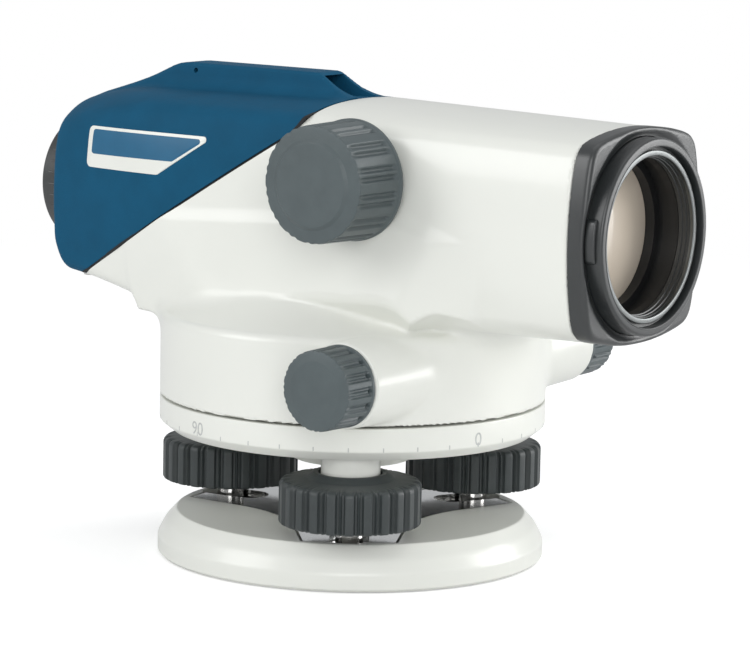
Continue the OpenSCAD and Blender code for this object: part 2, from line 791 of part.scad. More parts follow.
// Rod along the telescope at another height
module rod_at(x0, x1, z, r) {
    translate([x0, 0, z]) rotate([0, 90, 0]) cylinder(h = x1 - x0, r = r, $fn = 32);
}
// Places of the two screws in the hood's underside, behind the seam
hood_screw_x = -85;
hood_screw_y = 18;
hood_screw_z = 76.9;
module hood_screw_place(s) {
    translate([hood_screw_x, hood_screw_y * s, hood_screw_z]) children();
}
module hood_screws() color(steel)
    for (s = [-1, 1])
        hood_screw_place(s) rotate([180, 0, 0]) pan_screw(0, 8, screw_r);
module hood_seal() color(black_finish)
    difference() {
        intersection() {
            union() {
                barrel_form(2 * seam_bend_r, -0.5);
                rear_form(-0.5, body_floor_z);
            }
            side_view(-reach, reach)
                difference() {
                    hood_region(seat_gap);
                    hood_region(seal_w - seat_gap);
                }
        }
        inner_barrel(2 * seam_bend_r);
        rear_form(-wall, tube_floor_z);
    }

// Drum cover and vertical spindle
cover_z = drum_bottom_z + 0.5;
cover_t = 2;
spindle_flange_r = 24;
spindle_flange_t = 4;
cover_lug_r = 47;
cover_in_r = 34;
module drum_cover() color(black_finish)
    difference() {
        ring_z(cover_z, cover_z + cover_t, drum_in_r - seat_gap, cover_in_r);
        flange_holes(cover_lug_r, cover_z - past, reach);
    }
module drum_cover_screws() color(steel)
    for (i = [0 : 2])
        rotate(60 + 120 * i) translate([cover_lug_r, 0, cover_z])
            rotate([180, 0, 0]) low_screw(cover_t + 4);
module axis_spindle() color(steel)
    difference() {
        rotate_extrude()
            polygon([
                [0, bush_bottom_z + 2], [spindle_r - 1, bush_bottom_z + 2], [spindle_r, bush_bottom_z + 3],
                [spindle_r, drum_roof_z - spindle_flange_t],
                [spindle_flange_r, drum_roof_z - spindle_flange_t],
                [spindle_flange_r, drum_roof_z], [0, drum_roof_z]]);
        flange_holes(flange_screw_circle_r, drum_roof_z - spindle_flange_t - past, reach);
    }
module spindle_screws() color(steel)
    for (i = [0 : 2])
        rotate(60 + 120 * i) translate([flange_screw_circle_r, 0, drum_roof_z - spindle_flange_t])
            rotate([180, 0, 0]) low_screw(spindle_flange_t + 2.4);
// Screw with a low head, for narrow gaps
module low_screw(shank) {
    translate([0, 0, -shank]) cylinder(h = shank, r = screw_r, $fn = 32);
    cylinder(h = 0.2, r = 1.6 * screw_r, $fn = 32);
}

// Objective
cell_rear_x = 68;
cell_front_x = 95.6;
lens_r = 22.4;
module objective_bezel() color(black_finish)
    difference() {
        intersection() {
            translate([tube_front_x + seat_gap, 0, 0])
                cross_section(0, bezel_front_x - tube_front_x - seat_gap) bezel_outline();
            // Softened front edge
            turned_x(outline([
                [0, tube_front_x, 0], [bezel_half + 8, tube_front_x, 0],
                [bezel_half + 8, bezel_front_x - 4, 0], [bezel_half - 1, bezel_front_x, 3],
                [0, bezel_front_x, 0]]));
        }
        rod_x(tube_front_x - past, bezel_front_x + past, cell_bore_r + 0.7);
        // Hollow round the ring
        turned_x([[cell_bore_r, bezel_front_x - 1.6], [ring_r + 1, bezel_front_x - 1.6],
            [ring_r + 2.6, bezel_front_x + past], [cell_bore_r, bezel_front_x + past]]);
    }
// Rounded square outline with bulging sides
module bezel_outline() {
    translate([0, axis_z])
        intersection() {
            circle(r = edge_trim_front_r - 0.3, $fn = 128);
            intersection_for (i = [0 : 3])
                rotate(90 * i) translate([0, bezel_half - bezel_bulge_r])
                    circle(r = bezel_bulge_r, $fn = 128);
        }
}
ring_skirt_x = 93;
ring_skirt_t = 0.6;
ring_seat_x = bezel_front_x - 1.3;
ring_groove_r = 24.9;
ring_lip_r = 23.8;
tab_half = 6;
tab_t = 3.2;
tab_rise = 1.2;
module objective_ring() color(dark_plastic) {
    turned_x(outline([
        [cell_bore_r + seat_gap, ring_skirt_x, 0], [cell_bore_r + ring_skirt_t, ring_skirt_x, 0],
        [cell_bore_r + ring_skirt_t, ring_seat_x, 0], [ring_r, ring_seat_x, 0],
        [ring_r, ring_front_x, 1.2], [ring_groove_r, ring_front_x, 0.3],
        [ring_groove_r, ring_front_x - 2.2, 0], [ring_lip_r, ring_front_x - 2.2, 0],
        [ring_lip_r, ring_front_x - 1.6, 0],
        [aperture_r + 0.4, ring_front_x - 2.6, 0], [aperture_r, ring_front_x - 4, 0],
        [aperture_r, cell_front_x + seat_gap, 0], [cell_bore_r + seat_gap, cell_front_x + seat_gap, 0]]));
    // Raised tab at the near side
    intersection() {
        translate([0, -ring_r - tab_rise - 0.2, axis_z + 1])
            rotate([0, 90, 0]) translate([0, 0, bezel_front_x - 1.2])
                linear_extrude(tab_t) polygon(outline([
                    [-tab_half, 0, 1], [tab_half, 0, 1], [tab_half, 4, 1], [-tab_half, 4, 1]]));
        turned_x([[cell_bore_r + 2, bezel_front_x - 2], [ring_r + tab_rise, bezel_front_x - 2],
            [ring_r + tab_rise, ring_front_x], [cell_bore_r + 2, ring_front_x]]);
    }
}
cell_in_r = 18.4;
cell_stop_r = 19.6;
cell_stop_x = 76;
cell_throat_x = 93;
cell_seat_r = aperture_r + 1.4;
module objective_cell() color(black_finish)
    turned_x([
        [cell_in_r, cell_rear_x], [cell_bore_r, cell_rear_x], [cell_bore_r, cell_front_x],
        [aperture_r, cell_front_x], [aperture_r, cell_throat_x], [cell_seat_r, cell_throat_x],
        [cell_seat_r, cell_stop_x], [cell_stop_r, cell_stop_x], [cell_in_r, cell_stop_x - 2]]);
// Lens of radius r between rims at x0 and x1, each face domed outwards by its bulge
module lens_body(x0, x1, r, bulge0, bulge1) {
    steps = 12;
    turned_x(concat(
        [for (i = [0 : bulge0 == 0 ? steps : 1 : steps])
            [r * i / steps, x0 - bulge0 * (1 - pow(i / steps, 2))]],
        [for (i = [steps : bulge1 == 0 ? -steps : -1 : 0])
            [r * i / steps, x1 + bulge1 * (1 - pow(i / steps, 2))]]));
}
crown_t = 5.5;
flint_t = 3.1;
lens_bulge = 2.2;
retainer_t = 3;
module objective_crown_lens() color(coated_glass)
    lens_body(lens_x - crown_t, lens_x, lens_r, 0, lens_bulge);
module objective_flint_lens() color(coated_glass)
    lens_body(lens_x - crown_t - flint_t, lens_x - crown_t - seat_gap, lens_r, 0, 0);
module lens_retainer() color(black_finish)
    ring_x(lens_x + 0.4, lens_x + 0.4 + retainer_t, cell_seat_r - seat_gap, aperture_r - 0.9);

// Focus drive, seen from the knob inwards
pinion_r = gear_module * pinion_teeth / 2;
rack_pitch = PI * gear_module;
gear_tip = 0.7 * gear_module;
gear_root = 0.95 * gear_module;
rack_y0 = -19;
rack_y1 = -14;
rack_z = focus_z - pinion_r;
shaft_r = 3;
carriage_r = 11.6;
focus_travel = 12;
guide_x0 = 0.6;
guide_x1 = 60;
// Points of one tooth of the pinion, its middle at angle a
function pinion_tooth(a) =
    let (
        root_r = pinion_r - gear_root,
        tip_r = pinion_r + gear_tip,
        root_half = 0.30 * 360 / pinion_teeth,
        tip_half = 0.08 * 360 / pinion_teeth
    )
    [for (p = [[root_r, -root_half], [tip_r, -tip_half], [tip_r, tip_half], [root_r, root_half]])
        p.x * [cos(a + p.y), sin(a + p.y)]];
cap_r = 12.6;
cap_seat = 1.2;
cap_rise = 0.6;
pair_groove_w = 1.1;
pair_spread = 1.15;
pair_depth = 0.5;
knob_rim_w = 1;
knob_bore_y = focus_knob_out_y + 5;
module focus_knob() color(grey_plastic)
    difference() {
        turned_y(focus_x, focus_z, outline([
            [0, focus_knob_in_y, 0], [focus_knob_r, focus_knob_in_y, 0.3],
            [focus_knob_r, focus_knob_in_y - knob_rim_w, 0.3],
            [focus_knob_r - 0.3, focus_knob_in_y - knob_rim_w - 0.3, 0],
            [focus_knob_front_r, focus_knob_out_y + 0.9, 0.7], [cap_r + 0.3, focus_knob_out_y, 0],
            [0, focus_knob_out_y, 0]]));
        // Finger grooves in pairs from the front edge to the rear rim
        for (i = [0 : focus_pairs - 1], side = [-1, 1])
            translate([focus_x, 0, focus_z]) rotate([0, 360 / focus_pairs * i, 0])
                translate([pair_spread * side - pair_groove_w / 2, focus_knob_out_y - past,
                    focus_knob_front_r - pair_depth])
                    cube([pair_groove_w, focus_knob_in_y - 2 * knob_rim_w - focus_knob_out_y + past, reach]);
        // Seat of the cap
        rod_y(focus_x, focus_z, focus_knob_out_y - past, focus_knob_out_y + cap_seat, cap_r + seat_gap);
        // Shaft bore and hollow back
        rod_y(focus_x, focus_z, knob_bore_y, 0, shaft_r + seat_gap);
        difference() {
            rod_y(focus_x, focus_z, focus_knob_in_y - 9, 0, focus_knob_r - 4.5);
            rod_y(focus_x, focus_z, focus_knob_in_y - 10, past, shaft_r + 3);
        }
    }
module focus_knob_cap() color(grey_plastic)
    turned_y(focus_x, focus_z, outline([
        [0, focus_knob_out_y - cap_rise, 0], [cap_r, focus_knob_out_y - cap_rise, 0.6],
        [cap_r, focus_knob_out_y + cap_seat - seat_gap, 0],
        [0, focus_knob_out_y + cap_seat - seat_gap, 0]], 4));
module focus_shaft() color(steel) {
    rod_y(focus_x, focus_z, knob_bore_y + seat_gap, rack_y0 - 1, shaft_r);
    translate([focus_x, rack_y1, focus_z]) rotate([90, 0, 0])
        linear_extrude(rack_y1 - rack_y0 + 1)
            polygon([for (i = [0 : pinion_teeth - 1]) each pinion_tooth(360 / pinion_teeth * i - 90)]);
}
module focus_bush() color(brass)
    turned_y(focus_x, focus_z, [
        [shaft_r + run_gap, bush_end_y], [focus_bush_r, bush_end_y], [focus_bush_r, bush_seat_y],
        [bush_flange_r, bush_seat_y],
        [bush_flange_r, -24], [shaft_r + run_gap, -24]]);
// Guide tube with end flanges and a slot for the rack
module focus_guide() color(black_finish)
    difference() {
        union() {
            ring_x(guide_x0, guide_x1, carriage_r + 2.4, carriage_r + run_gap);
            for (x = [guide_x0, guide_x1 - 2.5])
                ring_x(x, x + 2.5, guide_flange_r(x + 2.5), carriage_r + run_gap);
        }
        translate([guide_x0 - past, -reach, rack_z - 7]) cube([guide_x1 - guide_x0 - 2, reach, 9.6]);
    }
// Flange radius that just meets the inside of the tapering telescope at x
function guide_flange_r(x) =
    tube_half - wall - 0.1 - (tube_half - tube_half_front) * x / tube_front_x;
carriage_rear_x = focus_x - 14;
carriage_front_x = focus_x + 8;
carriage_bore_r = 8.6;
focus_lens_r = 10;
focus_lens_x = focus_x + 2;
rack_arm_t = 3.6;
module focus_carriage() color(black_finish)
    difference() {
        union() {
            rod_x(carriage_rear_x, carriage_front_x, carriage_r);
            // Arm that carries the rack out through the slot
            translate([carriage_rear_x, rack_y0, rack_z - 6])
                cube([carriage_front_x - carriage_rear_x, carriage_r, rack_arm_t]);
        }
        rod_x(carriage_rear_x - past, carriage_front_x + past, carriage_bore_r);
        rod_x(focus_lens_x, carriage_front_x + past, focus_lens_r + seat_gap);
    }
module focus_rack() color(brass) {
    half_len = focus_travel + 4;
    count = ceil(2 * half_len / rack_pitch);
    back_z = rack_z - 2.4;
    first = focus_x - rack_pitch * (floor(count / 2) + 0.5);
    side_view(rack_y0, rack_y1)
        polygon(concat(
            [[first - rack_pitch / 2, back_z], [first - rack_pitch / 2, rack_z - gear_root]],
            [for (i = [0 : count])
                let (x = first + rack_pitch * i)
                each [[x - 0.28 * rack_pitch, rack_z - gear_root], [x - 0.1 * rack_pitch, rack_z + gear_tip],
                    [x + 0.1 * rack_pitch, rack_z + gear_tip], [x + 0.28 * rack_pitch, rack_z - gear_root]]],
            [[first + rack_pitch * (count + 0.5), rack_z - gear_root],
                [first + rack_pitch * (count + 0.5), back_z]]));
}
module focus_lens() color(glass)
    lens_body(focus_lens_x + seat_gap, focus_lens_x + 4, focus_lens_r, -0.9, -0.9);

// Compensator
comp_x = -36;
comp_half_x = 16;
comp_half_y = 18;
comp_roof_z = 120;
comp_plate = 2.6;
pivot_z = comp_roof_z;
pend_top_z = 106;
pend_bottom_z = 88;
module compensator_frame() color(black_finish)
    difference() {
        translate([comp_x - comp_half_x, -comp_half_y, tube_floor_z])
            cube([2 * comp_half_x, 2 * comp_half_y, comp_roof_z + comp_plate - tube_floor_z]);
        // Open through the line of sight and to both sides
        translate([comp_x - reach, -comp_half_y + comp_plate, tube_floor_z + comp_plate])
            cube([2 * reach, 2 * (comp_half_y - comp_plate), comp_roof_z - tube_floor_z - comp_plate]);
        rod_y(comp_x, axis_z - 4, -reach, reach, 9);
    }
module fixed_prisms() color(glass)
    for (s = [-1, 1])
        side_view(-6, 6)
            polygon([
                [comp_x + s * (comp_half_x - 0.5), comp_roof_z - seat_gap],
                [comp_x + s * (comp_half_x - 0.5), comp_roof_z - 11],
                [comp_x + s * 6, comp_roof_z - seat_gap]]);
module damper_magnets() color(steel)
    for (s = [-1, 1])
        translate([comp_x, s * 5.5, 0])
            translate([0, 0, tube_floor_z + comp_plate]) cylinder(h = 8, r = 3.5);
module suspension_tapes() color(steel)
    for (sx = [-1, 1], sy = [-1, 1])
        translate([comp_x + 3 * sx - 0.1, 11 * sy - 0.8, pend_top_z + air_gap])
            cube([0.2, 1.6, comp_roof_z - pend_top_z - air_gap]);
// Swinging frame with the damper vane below it
pend_l = 18;
pend_w = 26;
pend_slot_w = 16;
pend_floor_z = pend_bottom_z + 2;
vane_l = 10;
vane_t = 1.6;
vane_bottom_z = 77;
prism_half = 8.5;
module pendulum() color(bright_alloy) {
    difference() {
        translate([comp_x - pend_l / 2, -pend_w / 2, pend_bottom_z])
            cube([pend_l, pend_w, pend_top_z - pend_bottom_z]);
        translate([comp_x - pend_l / 2 - past, -pend_slot_w / 2, pend_floor_z])
            cube([pend_l + 2 * past, pend_slot_w, reach]);
    }
    translate([comp_x - vane_l / 2, -vane_t / 2, vane_bottom_z])
        cube([vane_l, vane_t, pend_bottom_z - vane_bottom_z]);
}
module pendulum_prism() color(glass)
    side_view(0.1 - pend_slot_w / 2, pend_slot_w / 2 - 0.1)
        polygon([
            [comp_x - prism_half, pend_floor_z + seat_gap], [comp_x + prism_half, pend_floor_z + seat_gap],
            [comp_x, pend_floor_z + prism_half]]);

// Reticle and eyepiece
sleeve_in_r = 13;
sleeve_front_x = -66;
sleeve_rear_x = -101.4;
cell_r = sleeve_in_r - run_gap;
saddle_half_x = 4;
saddle_half_y = 20;
saddle_z = 80.05;
saddle_h = 8;
module eyepiece_sleeve() color(black_finish) {
    ring_x(sleeve_rear_x, sleeve_front_x, eyepiece_bore_r, sleeve_in_r);
    // Saddle that takes the hood's screws
    difference() {
        translate([hood_screw_x - saddle_half_x, -saddle_half_y, saddle_z])
            cube([2 * saddle_half_x, 2 * saddle_half_y, saddle_h]);
        for (s = [-1, 1])
            hood_screw_place(s) cylinder(h = 9, r = screw_r + seat_gap, $fn = 32);
    }
}
reticle_r = 9;
module reticle_cell() color(brass)
    ring_x(sleeve_front_x - 7, sleeve_front_x - 1, sleeve_in_r - seat_gap, reticle_r);
module reticle_plate() color(glass)
    rod_x(sleeve_front_x - 5, sleeve_front_x - 3, reticle_r - seat_gap);
ocular_rear_x = -96;
ocular_front_x = -78;
ocular_bore_r = 9.4;
eye_lens_places = [-93, -84];
eye_lens_t = 4;
eye_lens_r = 10.4;
module ocular_cell() color(black_finish)
    difference() {
        rod_x(ocular_rear_x, ocular_front_x, cell_r);
        rod_x(ocular_rear_x - past, ocular_front_x + past, ocular_bore_r);
        for (x = eye_lens_places)
            rod_x(x, x + eye_lens_t, eye_lens_r + seat_gap);
    }
module ocular_lenses() color(glass)
    for (x = eye_lens_places)
        lens_body(x + seat_gap, x + eye_lens_t - seat_gap, eye_lens_r, 0, 0);
ring_in_x = -97;
ring_out_x = -104.2;
eyepiece_r = 19.7;
ring_eye_r = 13;
ring_bore_r = 9.5;
module eyepiece_ring() color(black_finish)
    difference() {
        turned_x(outline([
            [eyepiece_bore_r + run_gap, ring_in_x, 0],
            [eyepiece_bore_r + run_gap, sleeve_rear_x - air_gap, 0],
            [ring_bore_r, sleeve_rear_x - air_gap, 0], [ring_bore_r, ring_out_x + 0.8, 0],
            [ring_eye_r, ring_out_x, 0],
            [eyepiece_r - 0.6, ring_out_x, 0.8], [eyepiece_r, ring_in_x, 0.5]]));
        // Fine ribs round the ring
        for (i = [0 : 35])
            translate([0, 0, axis_z]) rotate([10 * i, 0, 0])
                translate([ring_out_x + 1.4, 0, eyepiece_r + 0.1]) rotate([0, 90, 0])
                    cylinder(h = ring_in_x - ring_out_x - 2.6, r = 0.5, $fn = 16);
    }
eyecup_rear_x = -107.4;
module eyecup() color(dark_plastic)
    turned_x(outline([
        [ring_bore_r, ring_out_x + 0.8 - seat_gap, 0], [ring_eye_r - 0.2, ring_out_x - seat_gap, 0],
        [ring_eye_r, eyecup_rear_x + 0.4, 0.6], [ring_eye_r - 1.8, eyecup_rear_x, 0.6]]));

// Fine motion drive
worm_root_r = worm_pitch_r - 0.9 * wheel_module;
worm_tip_r = worm_pitch_r + 0.55 * wheel_module;
worm_turns = 5;
// Places of the thread's cross-section along the right-hand helix, a gap facing the wheel
module worm_thread() {
    steps = 20;
    inner_r = worm_root_r - 0.15;
    root_half = 0.27 * worm_pitch;
    tip_half = 0.13 * worm_pitch;
    count = worm_turns * steps;
    profile = [[inner_r, -root_half], [worm_tip_r, -tip_half], [worm_tip_r, tip_half], [inner_r, root_half]];
    points = [for (i = [0 : count])
        let (
            turn = 360 * (i / steps - worm_turns / 2),
            y = worm_pitch * (i / steps - worm_turns / 2 + 0.5)
        )
        for (p = profile) [p.x * sin(turn - 90), y + p.y, p.x * cos(turn - 90)]];
    sides = [for (i = [0 : count - 1], k = [0 : 3])
        let (
            a = 4 * i + k,
            b = 4 * i + (k + 1) % 4
        )
        each [[a, b, b + 4], [a, b + 4, a + 4]]];
    polyhedron(points, concat(sides, [[3, 2, 1, 0]], [[for (k = [0 : 3]) 4 * count + k]]));
}
module worm_shaft() color(steel)
    translate([worm_x, 0, worm_z]) {
        translate([0, -fine_knob_out_y + 4, 0]) rotate([-90, 0, 0])
            cylinder(h = 2 * (fine_knob_out_y - 4), r = shaft_r);
        translate([0, -8, 0]) rotate([-90, 0, 0]) cylinder(h = 16, r = worm_root_r);
        worm_thread();
    }
module worm_bushes() color(brass)
    for (s = [-1, 1])
        translate([worm_x, 0, worm_z]) rotate([-90 * s, 0, 0])
            ring_z(30, fine_knob_in_y - 1, worm_bush_r, shaft_r + run_gap);
// Fine motion knob on the side s
fine_groove_w = 0.75;
fine_groove_depth = 0.55;
fine_spread = 0.75;
fine_rim_w = 1.6;
module fine_knob(s) color(grey_plastic)
    translate([worm_x, 0, worm_z]) rotate([-90 * s, 0, 0])
        difference() {
            rotate_extrude()
                polygon(outline([
                    [0, fine_knob_in_y, 0], [fine_knob_r + 0.2, fine_knob_in_y, 0.3],
                    [fine_knob_r + 0.2, fine_knob_in_y + 1, 0.3], [fine_knob_r, fine_knob_in_y + 1.3, 0],
                    [fine_knob_r - 0.2, fine_knob_out_y - 2, 0], [fine_knob_r - 1, fine_knob_out_y, 1.2],
                    [0, fine_knob_out_y, 0]]));
            // Finger grooves in pairs between the rear rim and the round shoulder
            for (i = [0 : fine_pairs - 1], side = [-1, 1])
                rotate(360 / fine_pairs * i)
                    translate([fine_knob_r - fine_groove_depth, fine_spread * side - fine_groove_w / 2,
                        fine_knob_in_y + fine_rim_w])
                        cube([reach, fine_groove_w, fine_knob_out_y - fine_knob_in_y - 2 * fine_rim_w]);
            translate([0, 0, fine_knob_in_y - past])
                cylinder(h = fine_knob_out_y - 4 - fine_knob_in_y + past, r = shaft_r + seat_gap);
        }
module fine_knob_right() fine_knob(-1);
module fine_knob_left() fine_knob(1);

// Circular level on the far side, with its prism
level_r = 10.6;
level_seat_z = drum_top_z + 1.4;
module level_cell() color(white_paint)
    difference() {
        translate([level_x, level_y, level_seat_z])
            rotate_extrude() polygon(outline([
                [0, 0, 0], [level_r, 0, 0], [level_r, 7, 0.8], [0, 7, 0]]));
        translate([level_x, level_y, level_seat_z + 2.6]) cylinder(h = 10, r = 8 + seat_gap);
        for (i = [0 : 2])
            level_screw_place(i) cylinder(h = reach, r = level_screw_r + seat_gap, $fn = 24);
    }
// Places of the level's three adjusting screws
module level_screw_place(i) {
    translate([level_x, level_y, drum_top_z - 2]) rotate(90 + 120 * i) translate([9.3, 0, 0]) children();
}
module level_vial() color(glass)
    difference() {
        translate([level_x, level_y, level_seat_z + 2.6 + seat_gap]) {
            cylinder(h = 4, r = 8);
            translate([0, 0, 4]) cylinder(h = 0.8, r1 = 8, r2 = 7);
        }
        translate([level_x, level_y, level_seat_z + 4]) cylinder(h = 2, r = 6);
    }
level_screw_r = 0.8;
level_screw_len = 10.4;
module level_screws() color(steel)
    for (i = [0 : 2])
        level_screw_place(i) translate([0, 0, air_gap])
            cylinder(h = level_screw_len, r = level_screw_r, $fn = 24);
holder_z = 86;
holder_h = 18;
holder_half = 11;
holder_y = 29;
prism_y = 34;
prism_end_y = level_y + 7;
module prism_holder() color(white_paint)
    difference() {
        translate([level_x - holder_half, holder_y, holder_z])
            cube([2 * holder_half, prism_end_y + 2 - holder_y, holder_h]);
        // Seat of the prism, open below and to the rear
        translate([level_x - reach, prism_y, holder_z - past])
            cube([reach + holder_half - 2, prism_end_y - prism_y, holder_h - 2 + past]);
        barrel_form(tube_front_x, seat_gap);
        rear_form(seat_gap, body_floor_z);
    }
module level_prism() color(glass)
    side_view(prism_y + seat_gap, prism_end_y - seat_gap)
        polygon([
            [level_x + holder_half - 2 - seat_gap, holder_z],
            [level_x + holder_half - 2 - seat_gap, holder_z + holder_h - 2 - seat_gap],
            [level_x - 7, holder_z + holder_h - 2 - seat_gap]]);

base_plate();
spring_plate();
spring_plate_screws();
foot_knob_1();
foot_knob_2();
foot_knob_3();
foot_spindle_1();
foot_spindle_2();
foot_spindle_3();
levelling_head();
foot_nuts();
axis_bush();
clutch_washer();
horizontal_circle();
worm_wheel();
main_housing();
eyepiece_hood();
hood_seal();
drum_cover();
drum_cover_screws();
axis_spindle();
spindle_screws();
objective_bezel();
objective_ring();
objective_cell();
objective_crown_lens();
objective_flint_lens();
lens_retainer();
focus_guide();
focus_bush();
compensator_frame();
fixed_prisms();
damper_magnets();
suspension_tapes();
reticle_cell();
reticle_plate();
eyepiece_sleeve();
worm_bushes();
level_cell();
level_vial();
level_screws();
level_prism();
prism_holder();
hood_screws();
worm_shaft();
fine_knob_right();
fine_knob_left();
focus_knob();
focus_knob_cap();
focus_shaft();
focus_carriage();
focus_rack();
focus_lens();
pendulum();
pendulum_prism();
ocular_cell();
ocular_lenses();
eyepiece_ring();
eyecup();
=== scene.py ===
"""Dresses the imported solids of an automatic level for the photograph's view.

Sizes in the classes are millimetres in the frame of the solids; meshes are in metres.
"""
import logging
import math
from dataclasses import dataclass, field
from enum import Enum
from typing import Callable, Sequence

import bmesh
import bpy
import numpy as np
from mathutils import Euler, Matrix, Vector


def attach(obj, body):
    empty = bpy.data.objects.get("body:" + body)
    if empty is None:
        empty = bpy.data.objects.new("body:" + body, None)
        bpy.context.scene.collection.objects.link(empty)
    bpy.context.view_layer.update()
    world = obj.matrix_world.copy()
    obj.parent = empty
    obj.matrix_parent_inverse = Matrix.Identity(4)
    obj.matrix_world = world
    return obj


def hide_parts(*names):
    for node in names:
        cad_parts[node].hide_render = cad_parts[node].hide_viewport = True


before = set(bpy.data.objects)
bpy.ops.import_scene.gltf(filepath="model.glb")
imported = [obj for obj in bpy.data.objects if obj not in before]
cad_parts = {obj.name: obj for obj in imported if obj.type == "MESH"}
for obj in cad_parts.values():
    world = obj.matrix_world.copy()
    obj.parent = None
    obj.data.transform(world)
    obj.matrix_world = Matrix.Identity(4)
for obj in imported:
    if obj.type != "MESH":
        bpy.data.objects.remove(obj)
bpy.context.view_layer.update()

MM = 0.001
LOG = logging.getLogger("automatic_level")

Array = np.ndarray
Field = Callable[[Array, Array, Array], Array]
Point = tuple[float, float]
Line = tuple[Point, Point]
Corner = tuple[float, float, float]
Station = tuple[float, float, float, float]
Box = tuple[Corner, Corner]

# Past every piece, in millimetres
FAR = 200.0


class Axis(Enum):
    """Line that a turned piece stands on, as the turn that brings +Z onto it."""

    SIGHT = (0.0, math.pi / 2, 0.0)
    ACROSS = (-math.pi / 2, 0.0, 0.0)
    PLUMB = (0.0, 0.0, 0.0)


class Side(Enum):
    """Side of the telescope, as the sign of its Y."""

    NEAR = -1
    FAR = 1


def soft_max(a: Array, b: Array, width: float) -> Array:
    """Larger of two fields, blended over a width."""
    share = np.clip(0.5 + 0.5 * (a - b) / width, 0.0, 1.0)
    return b + (a - b) * share + width * share * (1.0 - share)


def soft_min(a: Array, b: Array, width: float) -> Array:
    """Smaller of two fields, blended over a width."""
    return -soft_max(-a, -b, width)


def round_max(a: Array, b: Array, radius: float) -> Array:
    """Larger of two fields, its corner rounded to a true radius.

    Args:
        a: One field.
        b: The other.
        radius: Rounding of the corner where both are zero.

    Returns:
        The field of what lies inside both.
    """
    p, q = a + radius, b + radius
    inner = np.minimum(np.maximum(p, q), 0.0)
    return inner + np.hypot(np.maximum(p, 0.0), np.maximum(q, 0.0)) - radius


def ramp(x: Array, start: float, end: float) -> Array:
    """Smooth step from 0 at start to 1 at end."""
    t = np.clip((x - start) / (end - start), 0.0, 1.0)
    return t * t * (3.0 - 2.0 * t)


def beyond(u: Array, v: Array, p: Point, q: Point) -> Array:
    """Distance to the right of the line from p to q, in the plane of u and v."""
    du, dv = q[0] - p[0], q[1] - p[1]
    return ((u - p[0]) * dv - (v - p[1]) * du) / math.hypot(du, dv)


def rounded(corners: Sequence[Corner], steps: int = 6) -> list[Point]:
    """Outline through corners, each rounded by its own radius.

    Args:
        corners: Points with the radius of each corner as a third value.
        steps: Pieces of each rounding.

    Returns:
        The outline's points, in the same order.
    """
    points: list[Point] = []
    count = len(corners)
    for i, (x, y, radius) in enumerate(corners):
        if radius == 0.0:
            points.append((x, y))
            continue
        here = Vector((x, y))
        before = (Vector(corners[i - 1][:2]) - here).normalized()
        after = (Vector(corners[(i + 1) % count][:2]) - here).normalized()
        half = before.angle(after) / 2.0
        centre = here + (before + after).normalized() * (radius / math.sin(half))
        start = here + before * (radius / math.tan(half)) - centre
        end = here + after * (radius / math.tan(half)) - centre
        first = math.atan2(start.y, start.x)
        turn = math.atan2(start.x * end.y - start.y * end.x, start.dot(end))
        for k in range(steps + 1):
            angle = first + turn * k / steps
            points.append((centre.x + radius * math.cos(angle), centre.y + radius * math.sin(angle)))
    return points


